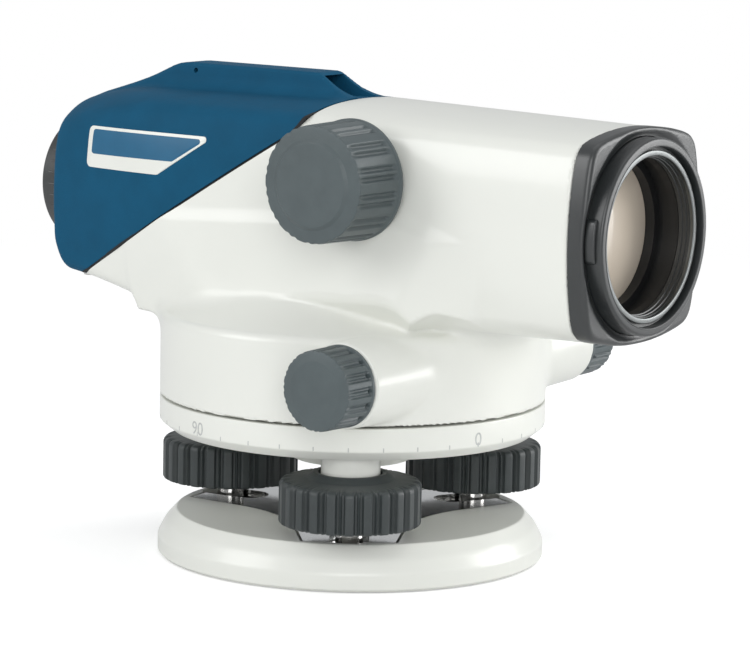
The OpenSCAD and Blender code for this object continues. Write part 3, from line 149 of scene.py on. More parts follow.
@dataclass(frozen=True)
class Finish:
    """A surface finish whose colour, gloss and grain come from noise in the piece's own space.

    Colours are linear; grain and mottle are sizes in millimetres.
    """

    name: str
    slot: str
    colour: tuple[float, float, float]
    roughness: float = 0.45
    metallic: float = 0.0
    mottle: float = 14.0
    mottle_depth: float = 0.05
    grain: float = 0.6
    grain_depth: float = 0.04
    gloss_spread: float = 0.06
    stretch: tuple[float, float, float] = (1.0, 1.0, 1.0)
    specular: float = 0.5
    coat: float = 0.0
    coat_roughness: float = 0.12
    transmission: float = 0.0
    ior: float = 1.5

    def material(self) -> bpy.types.Material:
        """Returns the finish's material, made on first use."""
        made = bpy.data.materials.get(self.name)
        return made if made else self.make()

    def make(self) -> bpy.types.Material:
        """Builds the node tree.

        Returns:
            The new material.
        """
        made = bpy.data.materials.new(self.name)
        made.use_nodes = True
        tree = made.node_tree
        shader = tree.nodes["Principled BSDF"]
        shader.inputs["Metallic"].default_value = self.metallic
        shader.inputs["Specular IOR Level"].default_value = self.specular
        shader.inputs["Coat Weight"].default_value = self.coat
        shader.inputs["Coat Roughness"].default_value = self.coat_roughness
        shader.inputs["Transmission Weight"].default_value = self.transmission
        shader.inputs["IOR"].default_value = self.ior
        place = tree.nodes.new("ShaderNodeTexCoord")
        spread = tree.nodes.new("ShaderNodeMapping")
        spread.inputs["Scale"].default_value = self.stretch
        tree.links.new(place.outputs["Object"], spread.inputs["Vector"])
        mottle = self.noise(tree, spread, self.mottle, 3.0)
        grain = self.noise(tree, spread, self.grain, 2.0)
        self.link_colour(tree, mottle, shader)
        gloss = tree.nodes.new("ShaderNodeMapRange")
        gloss.inputs["To Min"].default_value = max(self.roughness - self.gloss_spread, 0.0)
        gloss.inputs["To Max"].default_value = self.roughness + self.gloss_spread
        tree.links.new(mottle.outputs["Fac"], gloss.inputs["Value"])
        tree.links.new(gloss.outputs["Result"], shader.inputs["Roughness"])
        bump = tree.nodes.new("ShaderNodeBump")
        bump.inputs["Strength"].default_value = 1.0
        bump.inputs["Distance"].default_value = self.grain_depth * MM
        tree.links.new(self.height(tree, spread, grain), bump.inputs["Height"])
        tree.links.new(bump.outputs["Normal"], shader.inputs["Normal"])
        return made

    def noise(
        self, tree: bpy.types.NodeTree, place: bpy.types.Node, size: float, detail: float
    ) -> bpy.types.Node:
        """Adds a noise to a material.

        Args:
            tree: The material's nodes.
            place: Node that gives the place on the piece.
            size: Size of the features in millimetres.
            detail: Finer layers of the noise.

        Returns:
            The noise node.
        """
        made = tree.nodes.new("ShaderNodeTexNoise")
        made.inputs["Scale"].default_value = 1.0 / (size * MM)
        made.inputs["Detail"].default_value = detail
        tree.links.new(place.outputs["Vector"], made.inputs["Vector"])
        return made

    def link_colour(self, tree: bpy.types.NodeTree, mottle: bpy.types.Node, shader: bpy.types.Node) -> None:
        """Leads the colour, a little lighter and darker in patches, to the shader.

        Args:
            tree: The material's nodes.
            mottle: Noise of the patches.
            shader: The material's shader.
        """
        shades = tree.nodes.new("ShaderNodeValToRGB")
        low, high = shades.color_ramp.elements
        low.position, high.position = 0.3, 0.7
        low.color = (*(c * (1.0 - self.mottle_depth) for c in self.colour), 1.0)
        high.color = (*(min(c * (1.0 + self.mottle_depth), 1.0) for c in self.colour), 1.0)
        tree.links.new(mottle.outputs["Fac"], shades.inputs["Fac"])
        tree.links.new(shades.outputs["Color"], shader.inputs["Base Color"])

    def height(
        self, tree: bpy.types.NodeTree, place: bpy.types.Node, grain: bpy.types.Node
    ) -> bpy.types.NodeSocket:
        """Returns the socket that gives the relief of the surface."""
        return grain.outputs["Fac"]


@dataclass(frozen=True)
class MouldedShell(Finish):
    """Plastic with the fine spark-eroded texture of a moulded cover."""

    pebble: float = 0.75

    def height(
        self, tree: bpy.types.NodeTree, place: bpy.types.Node, grain: bpy.types.Node
    ) -> bpy.types.NodeSocket:
        """Adds pebbles with fine grain on them.

        Args:
            tree: The material's nodes.
            place: Node that gives the place on the piece.
            grain: Noise of the grain.

        Returns:
            The socket that gives the relief.
        """
        cells = tree.nodes.new("ShaderNodeTexVoronoi")
        cells.feature = "SMOOTH_F1"
        cells.inputs["Scale"].default_value = 1.0 / (self.pebble * MM)
        tree.links.new(place.outputs["Vector"], cells.inputs["Vector"])
        both = tree.nodes.new("ShaderNodeMath")
        both.operation = "ADD"
        tree.links.new(cells.outputs["Distance"], both.inputs[0])
        tree.links.new(grain.outputs["Fac"], both.inputs[1])
        return both.outputs["Value"]


@dataclass(frozen=True)
class TurnedMetal(Finish):
    """Metal with the fine rings that a cutting tool leaves about the plumb line."""

    pitch: float = 0.35
    bands_per_scale: float = 0.31

    def height(
        self, tree: bpy.types.NodeTree, place: bpy.types.Node, grain: bpy.types.Node
    ) -> bpy.types.NodeSocket:
        """Adds rings broken up by grain.

        Args:
            tree: The material's nodes.
            place: Node that gives the place on the piece.
            grain: Noise of the grain.

        Returns:
            The socket that gives the relief.
        """
        rings = tree.nodes.new("ShaderNodeTexWave")
        rings.bands_direction = "Z"
        rings.inputs["Scale"].default_value = self.bands_per_scale / (self.pitch * MM)
        rings.inputs["Distortion"].default_value = 0.6
        tree.links.new(place.outputs["Vector"], rings.inputs["Vector"])
        both = tree.nodes.new("ShaderNodeMath")
        both.operation = "MULTIPLY"
        tree.links.new(rings.outputs["Fac"], both.inputs[0])
        tree.links.new(grain.outputs["Fac"], both.inputs[1])
        return both.outputs["Value"]


WHITE_PAINT = Finish("white_satin_paint", "white_paint", (0.79, 0.80, 0.75), 0.30, mottle=26.0,
                     mottle_depth=0.012, grain=1.5, grain_depth=0.012, gloss_spread=0.05, coat=0.25)
BLUE_SHELL = MouldedShell("blue_textured_shell", "blue_shell", (0.0075, 0.080, 0.158), 0.6, mottle=9.0,
                          mottle_depth=0.07, grain=0.3, grain_depth=0.03, specular=0.08)
GREY_GRIP = MouldedShell("grey_moulded_grip", "grey_grip", (0.076, 0.097, 0.102), 0.42, mottle=5.0,
                         mottle_depth=0.06, grain=0.25, grain_depth=0.02, pebble=0.5)
DARK_GRIP = MouldedShell("dark_moulded_grip", "dark_grip", (0.038, 0.046, 0.047), 0.44, mottle=5.0,
                         mottle_depth=0.08, grain=0.25, grain_depth=0.02, pebble=0.5)
BLACK_TRIM = MouldedShell("black_moulded_trim", "black_trim", (0.017, 0.020, 0.021), 0.36, mottle=7.0,
                          mottle_depth=0.08, grain=0.25, grain_depth=0.010, pebble=0.45, specular=0.85)
SOFT_BLACK = Finish("soft_black_rubber", "soft_black", (0.016, 0.017, 0.018), 0.72, mottle=4.0,
                    mottle_depth=0.15, grain=0.2, grain_depth=0.03, specular=0.35)
BLACK_METAL = TurnedMetal("black_anodised_metal", "black_metal", (0.007, 0.0075, 0.008), 0.42, mottle=5.0,
                          mottle_depth=0.12, grain=0.4, grain_depth=0.01)
STEEL = TurnedMetal("turned_steel", "steel", (0.60, 0.59, 0.57), 0.20, 1.0, mottle=4.0, mottle_depth=0.08,
                    grain=0.5, grain_depth=0.004)
SPRING_STEEL = Finish("polished_spring_steel", "steel", (0.72, 0.73, 0.73), 0.11, 1.0, mottle=6.0,
                      mottle_depth=0.05, grain=0.4, grain_depth=0.002, stretch=(1.0, 6.0, 1.0))
BRASS = TurnedMetal("turned_brass", "brass", (0.60, 0.43, 0.17), 0.26, 1.0, mottle=4.0, mottle_depth=0.1,
                    grain=0.5, grain_depth=0.004)
LIGHT_ALLOY = TurnedMetal("bare_light_alloy", "light_alloy", (0.62, 0.63, 0.64), 0.34, 1.0, mottle=5.0,
                          mottle_depth=0.06, grain=0.4, grain_depth=0.006)
# Opaque beige under a clear coat: the amber tint of the lens coating, with the reflection and the light seen
# through the glass painted into its colour.
GLASS_PAINTED_REFLECTION = Finish("amber_coated_glass", "coated_glass", (0.72, 0.63, 0.52), 0.22, mottle=30.0,
                      mottle_depth=0.03, grain=8.0, grain_depth=0.001, gloss_spread=0.01, coat=1.0,
                      coat_roughness=0.03)
# Grey metal of the ring's inner lip. It is partly its own metal tone and partly a painted highlight, lighter
# than the black ring where its front-facing chamfer catches light.
LIP_METAL_PAINTED_HIGHLIGHT = TurnedMetal("satin_grey_ring", "light_alloy", (0.20, 0.21, 0.21), 0.34, 1.0, mottle=4.0,
                         mottle_depth=0.06, grain=0.4, grain_depth=0.003)
CLEAR_GLASS = Finish("clear_glass", "clear_glass", (0.93, 0.97, 0.95), 0.02, mottle=20.0, mottle_depth=0.01,
                     grain=6.0, grain_depth=0.001, gloss_spread=0.01, transmission=1.0)
LABEL_BLUE = Finish("label_blue_print", "blue_shell", (0.0035, 0.105, 0.215), 0.40, mottle=6.0,
                    mottle_depth=0.04, grain=0.3, grain_depth=0.004)
DIAL_GREY = Finish("dial_grey_ink", "grey_grip", (0.50, 0.51, 0.50), 0.55, mottle=1.2, mottle_depth=0.12,
                   grain=0.3, grain_depth=0.003)


def make_object(name: str, points: Array, faces: Sequence[Sequence[int]]) -> bpy.types.Object:
    """Makes an object from points and the faces between them.

    Args:
        name: Name of the object.
        points: Its points in millimetres.
        faces: The points of each face.

    Returns:
        The object, in the scene.
    """
    mesh = bpy.data.meshes.new(name)
    mesh.from_pydata((np.asarray(points, float) * MM).tolist(), [], faces)
    made = bpy.data.objects.new(name, mesh)
    bpy.context.scene.collection.objects.link(made)
    return made


def tidy_normals(piece: bpy.types.Object, sharp: float = 30.0) -> None:
    """Turns faces outwards and shades them smooth.

    Args:
        piece: The object.
        sharp: Angle above which an edge shades sharp, in degrees.
    """
    work = bmesh.new()
    work.from_mesh(piece.data)
    bmesh.ops.remove_doubles(work, verts=work.verts, dist=1e-7)
    bmesh.ops.recalc_face_normals(work, faces=work.faces)
    work.to_mesh(piece.data)
    work.free()
    piece.data.shade_smooth()
    piece.data.set_sharp_from_angle(angle=math.radians(sharp))


def placement(axis: Axis, at: Sequence[float]) -> Matrix:
    """Returns the matrix that stands a piece made along +Z on an axis at a point in millimetres."""
    return Matrix.Translation(Vector(at) * MM) @ Euler(axis.value).to_matrix().to_4x4()


def turned(
    name: str, outline: Sequence[Point], axis: Axis = Axis.PLUMB,
    at: Sequence[float] = (0.0, 0.0, 0.0), segments: int = 128,
) -> bpy.types.Object:
    """Turns a closed outline about an axis.

    Args:
        name: Name of the object.
        outline: Points as radius and height, closed on itself.
        axis: Line that the piece stands on.
        at: Where the axis and height zero are.
        segments: Faces round the axis.

    Returns:
        The turned object.
    """
    points: list[tuple[float, float, float]] = []
    rows: list[list[int]] = []
    for radius, height in outline:
        start = len(points)
        if radius < 1e-6:
            points.append((0.0, 0.0, height))
            rows.append([start] * segments)
            continue
        for k in range(segments):
            angle = 2.0 * math.pi * k / segments
            points.append((radius * math.cos(angle), radius * math.sin(angle), height))
        rows.append(list(range(start, start + segments)))
    faces: list[list[int]] = []
    for low, high in zip(rows, rows[1:] + rows[:1]):
        for k in range(segments):
            ring = [low[k], low[(k + 1) % segments], high[(k + 1) % segments], high[k]]
            unique = list(dict.fromkeys(ring))
            if len(unique) > 2:
                faces.append(unique)
    made = make_object(name, np.array(points), faces)
    made.data.transform(placement(axis, at))
    tidy_normals(made)
    return made


# Faces of a box whose points count up along Z first, then Y, then X
BOX_FACES = ((0, 1, 3, 2), (4, 6, 7, 5), (0, 4, 5, 1), (2, 3, 7, 6), (0, 2, 6, 4), (1, 5, 7, 3))


def block(name: str, low: Sequence[float], high: Sequence[float]) -> bpy.types.Object:
    """Makes a plain box, used to cut other pieces.

    Args:
        name: Name of the object.
        low: Its lowest corner.
        high: Its highest corner.

    Returns:
        The box.
    """
    spans = list(zip(low, high))
    points = [(x, y, z) for x in spans[0] for y in spans[1] for z in spans[2]]
    made = make_object(name, np.array(points), BOX_FACES)
    tidy_normals(made)
    return made


def rod(name: str, axis: Axis, at: Sequence[float], span: Point, radius: float) -> bpy.types.Object:
    """Makes a plain rod along an axis, used to cut other pieces."""
    return turned(name, [(0.0, span[0]), (radius, span[0]), (radius, span[1]), (0.0, span[1])], axis, at, 96)


def applied(piece: bpy.types.Object) -> None:
    """Turns a piece's modifiers into plain mesh.

    Args:
        piece: The object, which keeps its name.
    """
    graph = bpy.context.evaluated_depsgraph_get()
    mesh = bpy.data.meshes.new_from_object(piece.evaluated_get(graph), depsgraph=graph)
    old = piece.data
    piece.modifiers.clear()
    piece.data = mesh
    mesh.name = piece.name
    bpy.data.meshes.remove(old)


def carve(piece: bpy.types.Object, cutters: Sequence[bpy.types.Object]) -> None:
    """Takes cutters out of a piece and removes them from the scene.

    Args:
        piece: The object that is cut.
        cutters: Closed objects that are taken out of it, in this order.
    """
    for cutter in cutters:
        step = piece.modifiers.new("carve", "BOOLEAN")
        step.operation = "DIFFERENCE"
        step.solver = "MANIFOLD"
        step.object = cutter
        applied(piece)
        bpy.data.objects.remove(cutter)


@dataclass(frozen=True)
class FieldSolid:
    """Mesh of the zero surface of a field, from a grid over a box."""

    low: tuple[float, float, float]
    high: tuple[float, float, float]
    step: float

    def build(self, name: str, shape: Field) -> bpy.types.Object:
        """Meshes the field's inside.

        Args:
            name: Name of the object.
            shape: Field that is below zero inside the piece.

        Returns:
            The closed object, its points settled on the surface.
        """
        axes = [np.arange(a, b + self.step, self.step) for a, b in zip(self.low, self.high)]
        values = np.concatenate([
            shape(axes[0][i:i + 16, None, None], axes[1][None, :, None], axes[2][None, None, :])
            for i in range(0, len(axes[0]), 16)])
        inside = values < 0.0
        cells, points = self.cell_points(values, inside)
        index = np.full(np.array(values.shape) - 1, -1)
        index[tuple(cells.T)] = np.arange(len(cells))
        faces = np.concatenate([self.quads(inside, index, axis) for axis in range(3)])
        points = settled(shape, np.array(self.low) + points * self.step)
        return make_object(name, points, faces.tolist())

    def cell_points(self, values: Array, inside: Array) -> tuple[Array, Array]:
        """Finds where the surface crosses the grid.

        Args:
            values: The field at the grid's corners.
            inside: Where it is below zero.

        Returns:
            The cells that the surface crosses, and a point in each, in grid steps.
        """
        corners = [(i, j, k) for i in (0, 1) for j in (0, 1) for k in (0, 1)]
        size = np.array(values.shape) - 1
        window = [tuple(slice(c, c + s) for c, s in zip(corner, size)) for corner in corners]
        count = sum(inside[w].astype(np.int8) for w in window)
        cells = np.argwhere((count > 0) & (count < 8))
        total, hits = np.zeros((len(cells), 3)), np.zeros(len(cells))
        for a in corners:
            for axis in range(3):
                if a[axis] == 1:
                    continue
                b = tuple(1 if n == axis else v for n, v in enumerate(a))
                first, second = values[tuple((cells + a).T)], values[tuple((cells + b).T)]
                cross = (first < 0.0) != (second < 0.0)
                share = np.where(cross, first / np.where(cross, first - second, 1.0), 0.0)
                spot = np.array(a) + share[:, None] * (np.array(b) - np.array(a))
                total += spot * cross[:, None]
                hits += cross
        return cells, cells + total / hits[:, None]

    def quads(self, inside: Array, index: Array, axis: int) -> Array:
        """Joins the points of the cells round each edge that the surface crosses.

        Args:
            inside: Where the field is below zero.
            index: Number of each cell's point.
            axis: Axis of the edges.

        Returns:
            The faces, turned outwards.
        """
        one, two = (axis + 1) % 3, (axis + 2) % 3
        ahead = np.roll(inside, -1, axis)
        change = inside != ahead
        change[tuple(-1 if n == axis else slice(None) for n in range(3))] = False
        edges = np.argwhere(change)
        edges = edges[(edges[:, one] > 0) & (edges[:, two] > 0)]
        edges = edges[(edges[:, one] < inside.shape[one] - 1) & (edges[:, two] < inside.shape[two] - 1)]
        ring = []
        for back_one, back_two in ((1, 1), (0, 1), (0, 0), (1, 0)):
            cell = edges.copy()
            cell[:, one] -= back_one
            cell[:, two] -= back_two
            ring.append(index[tuple(cell.T)])
        quads = np.stack(ring, axis=1)
        leaving = inside[tuple(edges.T)]
        return np.where(leaving[:, None], quads, quads[:, ::-1])


def gradient(shape: Field, points: Array) -> Array:
    """Measures a field's slope from differences across a small step.

    Args:
        shape: The field.
        points: Where it is measured.

    Returns:
        The slope at each point.
    """
    reach = 0.02
    slope = np.empty_like(points)
    for axis in range(3):
        shift = np.zeros(3)
        shift[axis] = reach
        slope[:, axis] = (shape(*(points + shift).T) - shape(*(points - shift).T)) / (2.0 * reach)
    return slope


def settled(shape: Field, points: Array, rounds: int = 4) -> Array:
    """Moves points onto a field's zero surface along its slope.

    Args:
        shape: The field.
        points: Points near its surface.
        rounds: Times that each point is moved.

    Returns:
        The moved points.
    """
    longest = 0.5
    for _ in range(rounds):
        slope = gradient(shape, points)
        size = np.maximum((slope * slope).sum(axis=1), 1e-3)
        move = np.clip(shape(*points.T) / size, -longest, longest)
        points = points - slope * move[:, None]
    return points


def field_normals(piece: bpy.types.Object, shape: Field, sharp: float = 30.0) -> None:
    """Shades the faces that lie on a field by its slope, and the cut faces by their own edges.

    Args:
        piece: The object.
        shape: Field that its uncut faces lie on.
        sharp: Angle above which an edge shades sharp, in degrees.
    """
    off_surface, least_match = 0.05, 0.7
    mesh = piece.data
    mesh.shade_smooth()
    mesh.set_sharp_from_angle(angle=math.radians(sharp))
    spots = np.empty(len(mesh.vertices) * 3)
    mesh.vertices.foreach_get("co", spots)
    spots = spots.reshape(-1, 3) / MM
    slope = gradient(shape, spots)
    slope /= np.maximum(np.linalg.norm(slope, axis=1), 1e-9)[:, None]
    corner = np.empty(len(mesh.loops), int)
    mesh.loops.foreach_get("vertex_index", corner)
    normals = np.empty(len(mesh.loops) * 3)
    mesh.corner_normals.foreach_get("vector", normals)
    normals = normals.reshape(-1, 3)
    flat = np.empty(len(mesh.polygons) * 3)
    mesh.polygons.foreach_get("normal", flat)
    sizes = np.empty(len(mesh.polygons), int)
    mesh.polygons.foreach_get("loop_total", sizes)
    flat = np.repeat(flat.reshape(-1, 3), sizes, axis=0)
    near = np.abs(shape(*spots.T)) < off_surface
    use = near[corner] & ((slope[corner] * flat).sum(axis=1) > least_match)
    normals[use] = slope[corner][use]
    mesh.normals_split_custom_set(normals.tolist())


def near_side(shape: Field, x: Array, z: Array) -> Array:
    """Finds where lines along +Y first enter a field that holds their point at Y zero.

    Args:
        shape: The field.
        x: Places of the lines along the sight line.
        z: Their heights.

    Returns:
        The Y at which each line enters.
    """
    start, halvings = -60.0, 32
    out, inner = np.full_like(x, start), np.zeros_like(x)
    for _ in range(halvings):
        middle = (out + inner) / 2.0
        held = shape(x, middle, z) < 0.0
        inner, out = np.where(held, middle, inner), np.where(held, out, middle)
    return inner


@dataclass(frozen=True)
class SurfacePlate:
    """Thin plate that follows a field's near side, inside an outline seen from that side.

    The outline's corners are X, Z and rounding, from a plain point on an edge back to the same point.
    """

    outline: Sequence[Corner]
    rise: float
    sink: float = 0.4
    pitch: float = 0.8
    edge: float = 0.12
    shares: Sequence[float] = (1.0, 0.99, 0.9, 0.75, 0.6, 0.45, 0.3, 0.15, 0.03)

    def rim(self) -> Array:
        """Spaces points closely round the outline.

        Returns:
            Their X and Z.
        """
        line = rounded(self.outline, 7)
        spots: list[Point] = []
        for (x0, z0), (x1, z1) in zip(line, line[1:]):
            parts = max(1, math.ceil(math.hypot(x1 - x0, z1 - z0) / self.pitch))
            spots += [(x0 + (x1 - x0) * k / parts, z0 + (z1 - z0) * k / parts) for k in range(parts)]
        return np.array(spots)

    def layer(self, shape: Field, share: float, lift: float) -> Array:
        """Lays the outline on the surface, drawn in towards its middle.

        Args:
            shape: Field that the plate follows.
            share: Share of the outline's size.
            lift: Height above the surface.

        Returns:
            The points of the drawn-in outline.
        """
        rim = self.rim()
        middle = rim.mean(axis=0)
        x, z = (middle + (rim - middle) * share).T
        spots = np.column_stack((x, near_side(shape, x, z), z))
        slope = gradient(shape, spots)
        return spots + slope / np.linalg.norm(slope, axis=1)[:, None] * lift

    def build(self, name: str, shape: Field) -> bpy.types.Object:
        """Builds the plate.

        Args:
            name: Name of the object.
            shape: Field that the plate follows.

        Returns:
            The closed plate.
        """
        tops = [self.layer(shape, share, self.rise - (self.edge if k == 0 else 0.0))
                for k, share in enumerate(self.shares)]
        rows = tops[::-1] + [self.layer(shape, share, -self.sink) for share in self.shares]
        count, last = len(rows[0]), len(rows) - 1
        faces = [list(range(count)), list(range(last * count, (last + 1) * count))]
        for row in range(last):
            for k in range(count):
                after = (k + 1) % count
                faces.append([row * count + k, row * count + after, (row + 1) * count + after,
                              (row + 1) * count + k])
        made = make_object(name, np.concatenate(rows), faces)
        tidy_normals(made)
        return made


class RoundAxis:
    """Geometry Nodes tree that repeats one piece at equal steps round an axis."""

    NAME = "repeat_round_axis"
    INPUTS = {"Piece": "NodeSocketObject", "Count": "NodeSocketInt", "First Turn": "NodeSocketFloat",
              "Place": "NodeSocketVector", "Tilt": "NodeSocketVector", "Weld": "NodeSocketFloat",
              "Finish": "NodeSocketMaterial"}

    @classmethod
    def tree(cls) -> bpy.types.NodeTree:
        """Returns the tree, made on first use."""
        made = bpy.data.node_groups.get(cls.NAME)
        return made if made else cls.make()

    @classmethod
    def make(cls) -> bpy.types.NodeTree:
        """Builds the tree.

        Returns:
            The new node tree.
        """
        tree = bpy.data.node_groups.new(cls.NAME, "GeometryNodeTree")
        tree.interface.new_socket("Geometry", in_out="INPUT", socket_type="NodeSocketGeometry")
        for label, kind in cls.INPUTS.items():
            tree.interface.new_socket(label, in_out="INPUT", socket_type=kind)
        tree.interface.new_socket("Geometry", in_out="OUTPUT", socket_type="NodeSocketGeometry")
        add, link = tree.nodes.new, tree.links.new
        given, result = add("NodeGroupInput"), add("NodeGroupOutput")
        spots, source = add("GeometryNodePoints"), add("GeometryNodeObjectInfo")
        copies, index = add("GeometryNodeInstanceOnPoints"), add("GeometryNodeInputIndex")
        step, angle = add("ShaderNodeMath"), add("ShaderNodeMath")
        spin, turn, tilt = add("ShaderNodeCombineXYZ"), add("FunctionNodeEulerToRotation"), add(
            "FunctionNodeEulerToRotation")
        move, real = add("GeometryNodeTransform"), add("GeometryNodeRealizeInstances")
        weld, shade = add("GeometryNodeMergeByDistance"), add("GeometryNodeSetShadeSmooth")
        coat = add("GeometryNodeSetMaterial")
        step.operation, angle.operation = "DIVIDE", "MULTIPLY_ADD"
        step.inputs[0].default_value = 2.0 * math.pi
        link(given.outputs["Count"], spots.inputs["Count"])
        link(given.outputs["Count"], step.inputs[1])
        link(index.outputs[0], angle.inputs[0])
        link(step.outputs[0], angle.inputs[1])
        link(given.outputs["First Turn"], angle.inputs[2])
        link(angle.outputs[0], spin.inputs["Z"])
        link(spin.outputs[0], turn.inputs[0])
        link(given.outputs["Piece"], source.inputs["Object"])
        link(spots.outputs[0], copies.inputs["Points"])
        link(source.outputs["Geometry"], copies.inputs["Instance"])
        link(turn.outputs[0], copies.inputs["Rotation"])
        link(copies.outputs[0], move.inputs["Geometry"])
        link(given.outputs["Place"], move.inputs["Translation"])
        link(given.outputs["Tilt"], tilt.inputs[0])
        link(tilt.outputs[0], move.inputs["Rotation"])
        link(move.outputs[0], real.inputs[0])
        link(real.outputs[0], weld.inputs["Geometry"])
        link(given.outputs["Weld"], weld.inputs["Distance"])
        link(weld.outputs[0], shade.inputs["Geometry"])
        link(shade.outputs[0], coat.inputs["Geometry"])
        link(given.outputs["Finish"], coat.inputs["Material"])
        link(coat.outputs[0], result.inputs[0])
        return tree

    @classmethod
    def repeat(
        cls, name: str, piece: bpy.types.Object, count: int, finish: Finish, axis: Axis = Axis.PLUMB,
        at: Sequence[float] = (0.0, 0.0, 0.0), first: float = 0.0, sharp: float = 40.0,
    ) -> bpy.types.Object:
        """Repeats a piece round an axis and removes the piece.

        Args:
            name: Name of the result.
            piece: What is repeated, made about +Z.
            count: Number of copies in a full turn.
            finish: Finish of the result.
            axis: Line that the copies stand round.
            at: Where the axis and height zero are, in millimetres.
            first: Angle of the first copy in degrees.
            sharp: Angle above which an edge shades sharp, in degrees.

        Returns:
            One plain mesh object.
        """
        made = make_object(name, np.zeros((0, 3)), [])
        step = made.modifiers.new("repeat", "NODES")
        step.node_group = cls.tree()
        values = {"Piece": piece, "Count": count, "First Turn": math.radians(first),
                  "Place": tuple(v * MM for v in at), "Tilt": axis.value, "Weld": 0.002 * MM,
                  "Finish": finish.material()}
        for socket in step.node_group.interface.items_tree:
            if socket.in_out == "INPUT" and socket.name in values:
                step[socket.identifier] = values[socket.name]
        applied(made)
        bpy.data.objects.remove(piece)
        made.data.set_sharp_from_angle(angle=math.radians(sharp))
        return made


def fit(
    piece: bpy.types.Object, body: str, finish: Finish, stands_for: Sequence[str] = ()
) -> bpy.types.Object:
    """Finishes a piece and puts it on its body.

    Args:
        piece: The finished mesh object.
        body: Body that it moves with.
        finish: Finish of its surface.
        stands_for: Nodes of the solids that it replaces.

    Returns:
        The same piece.
    """
    piece.data.materials.clear()
    piece.data.materials.append(finish.material())
    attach(piece, body)
    if stands_for:
        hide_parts(*stands_for)
    LOG.info("%s on %s, %d faces", piece.name, body, len(piece.data.polygons))
    return piece


def dress(nodes: Sequence[str], finish: Finish) -> None:
    """Gives solids that stay as they are a better finish.

    Args:
        nodes: Names of the solids.
        finish: Their finish.
    """
    for node in nodes:
        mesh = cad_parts[node].data
        mesh.materials.clear()
        mesh.materials.append(finish.material())
        LOG.info("%s finished in %s", node, finish.name)


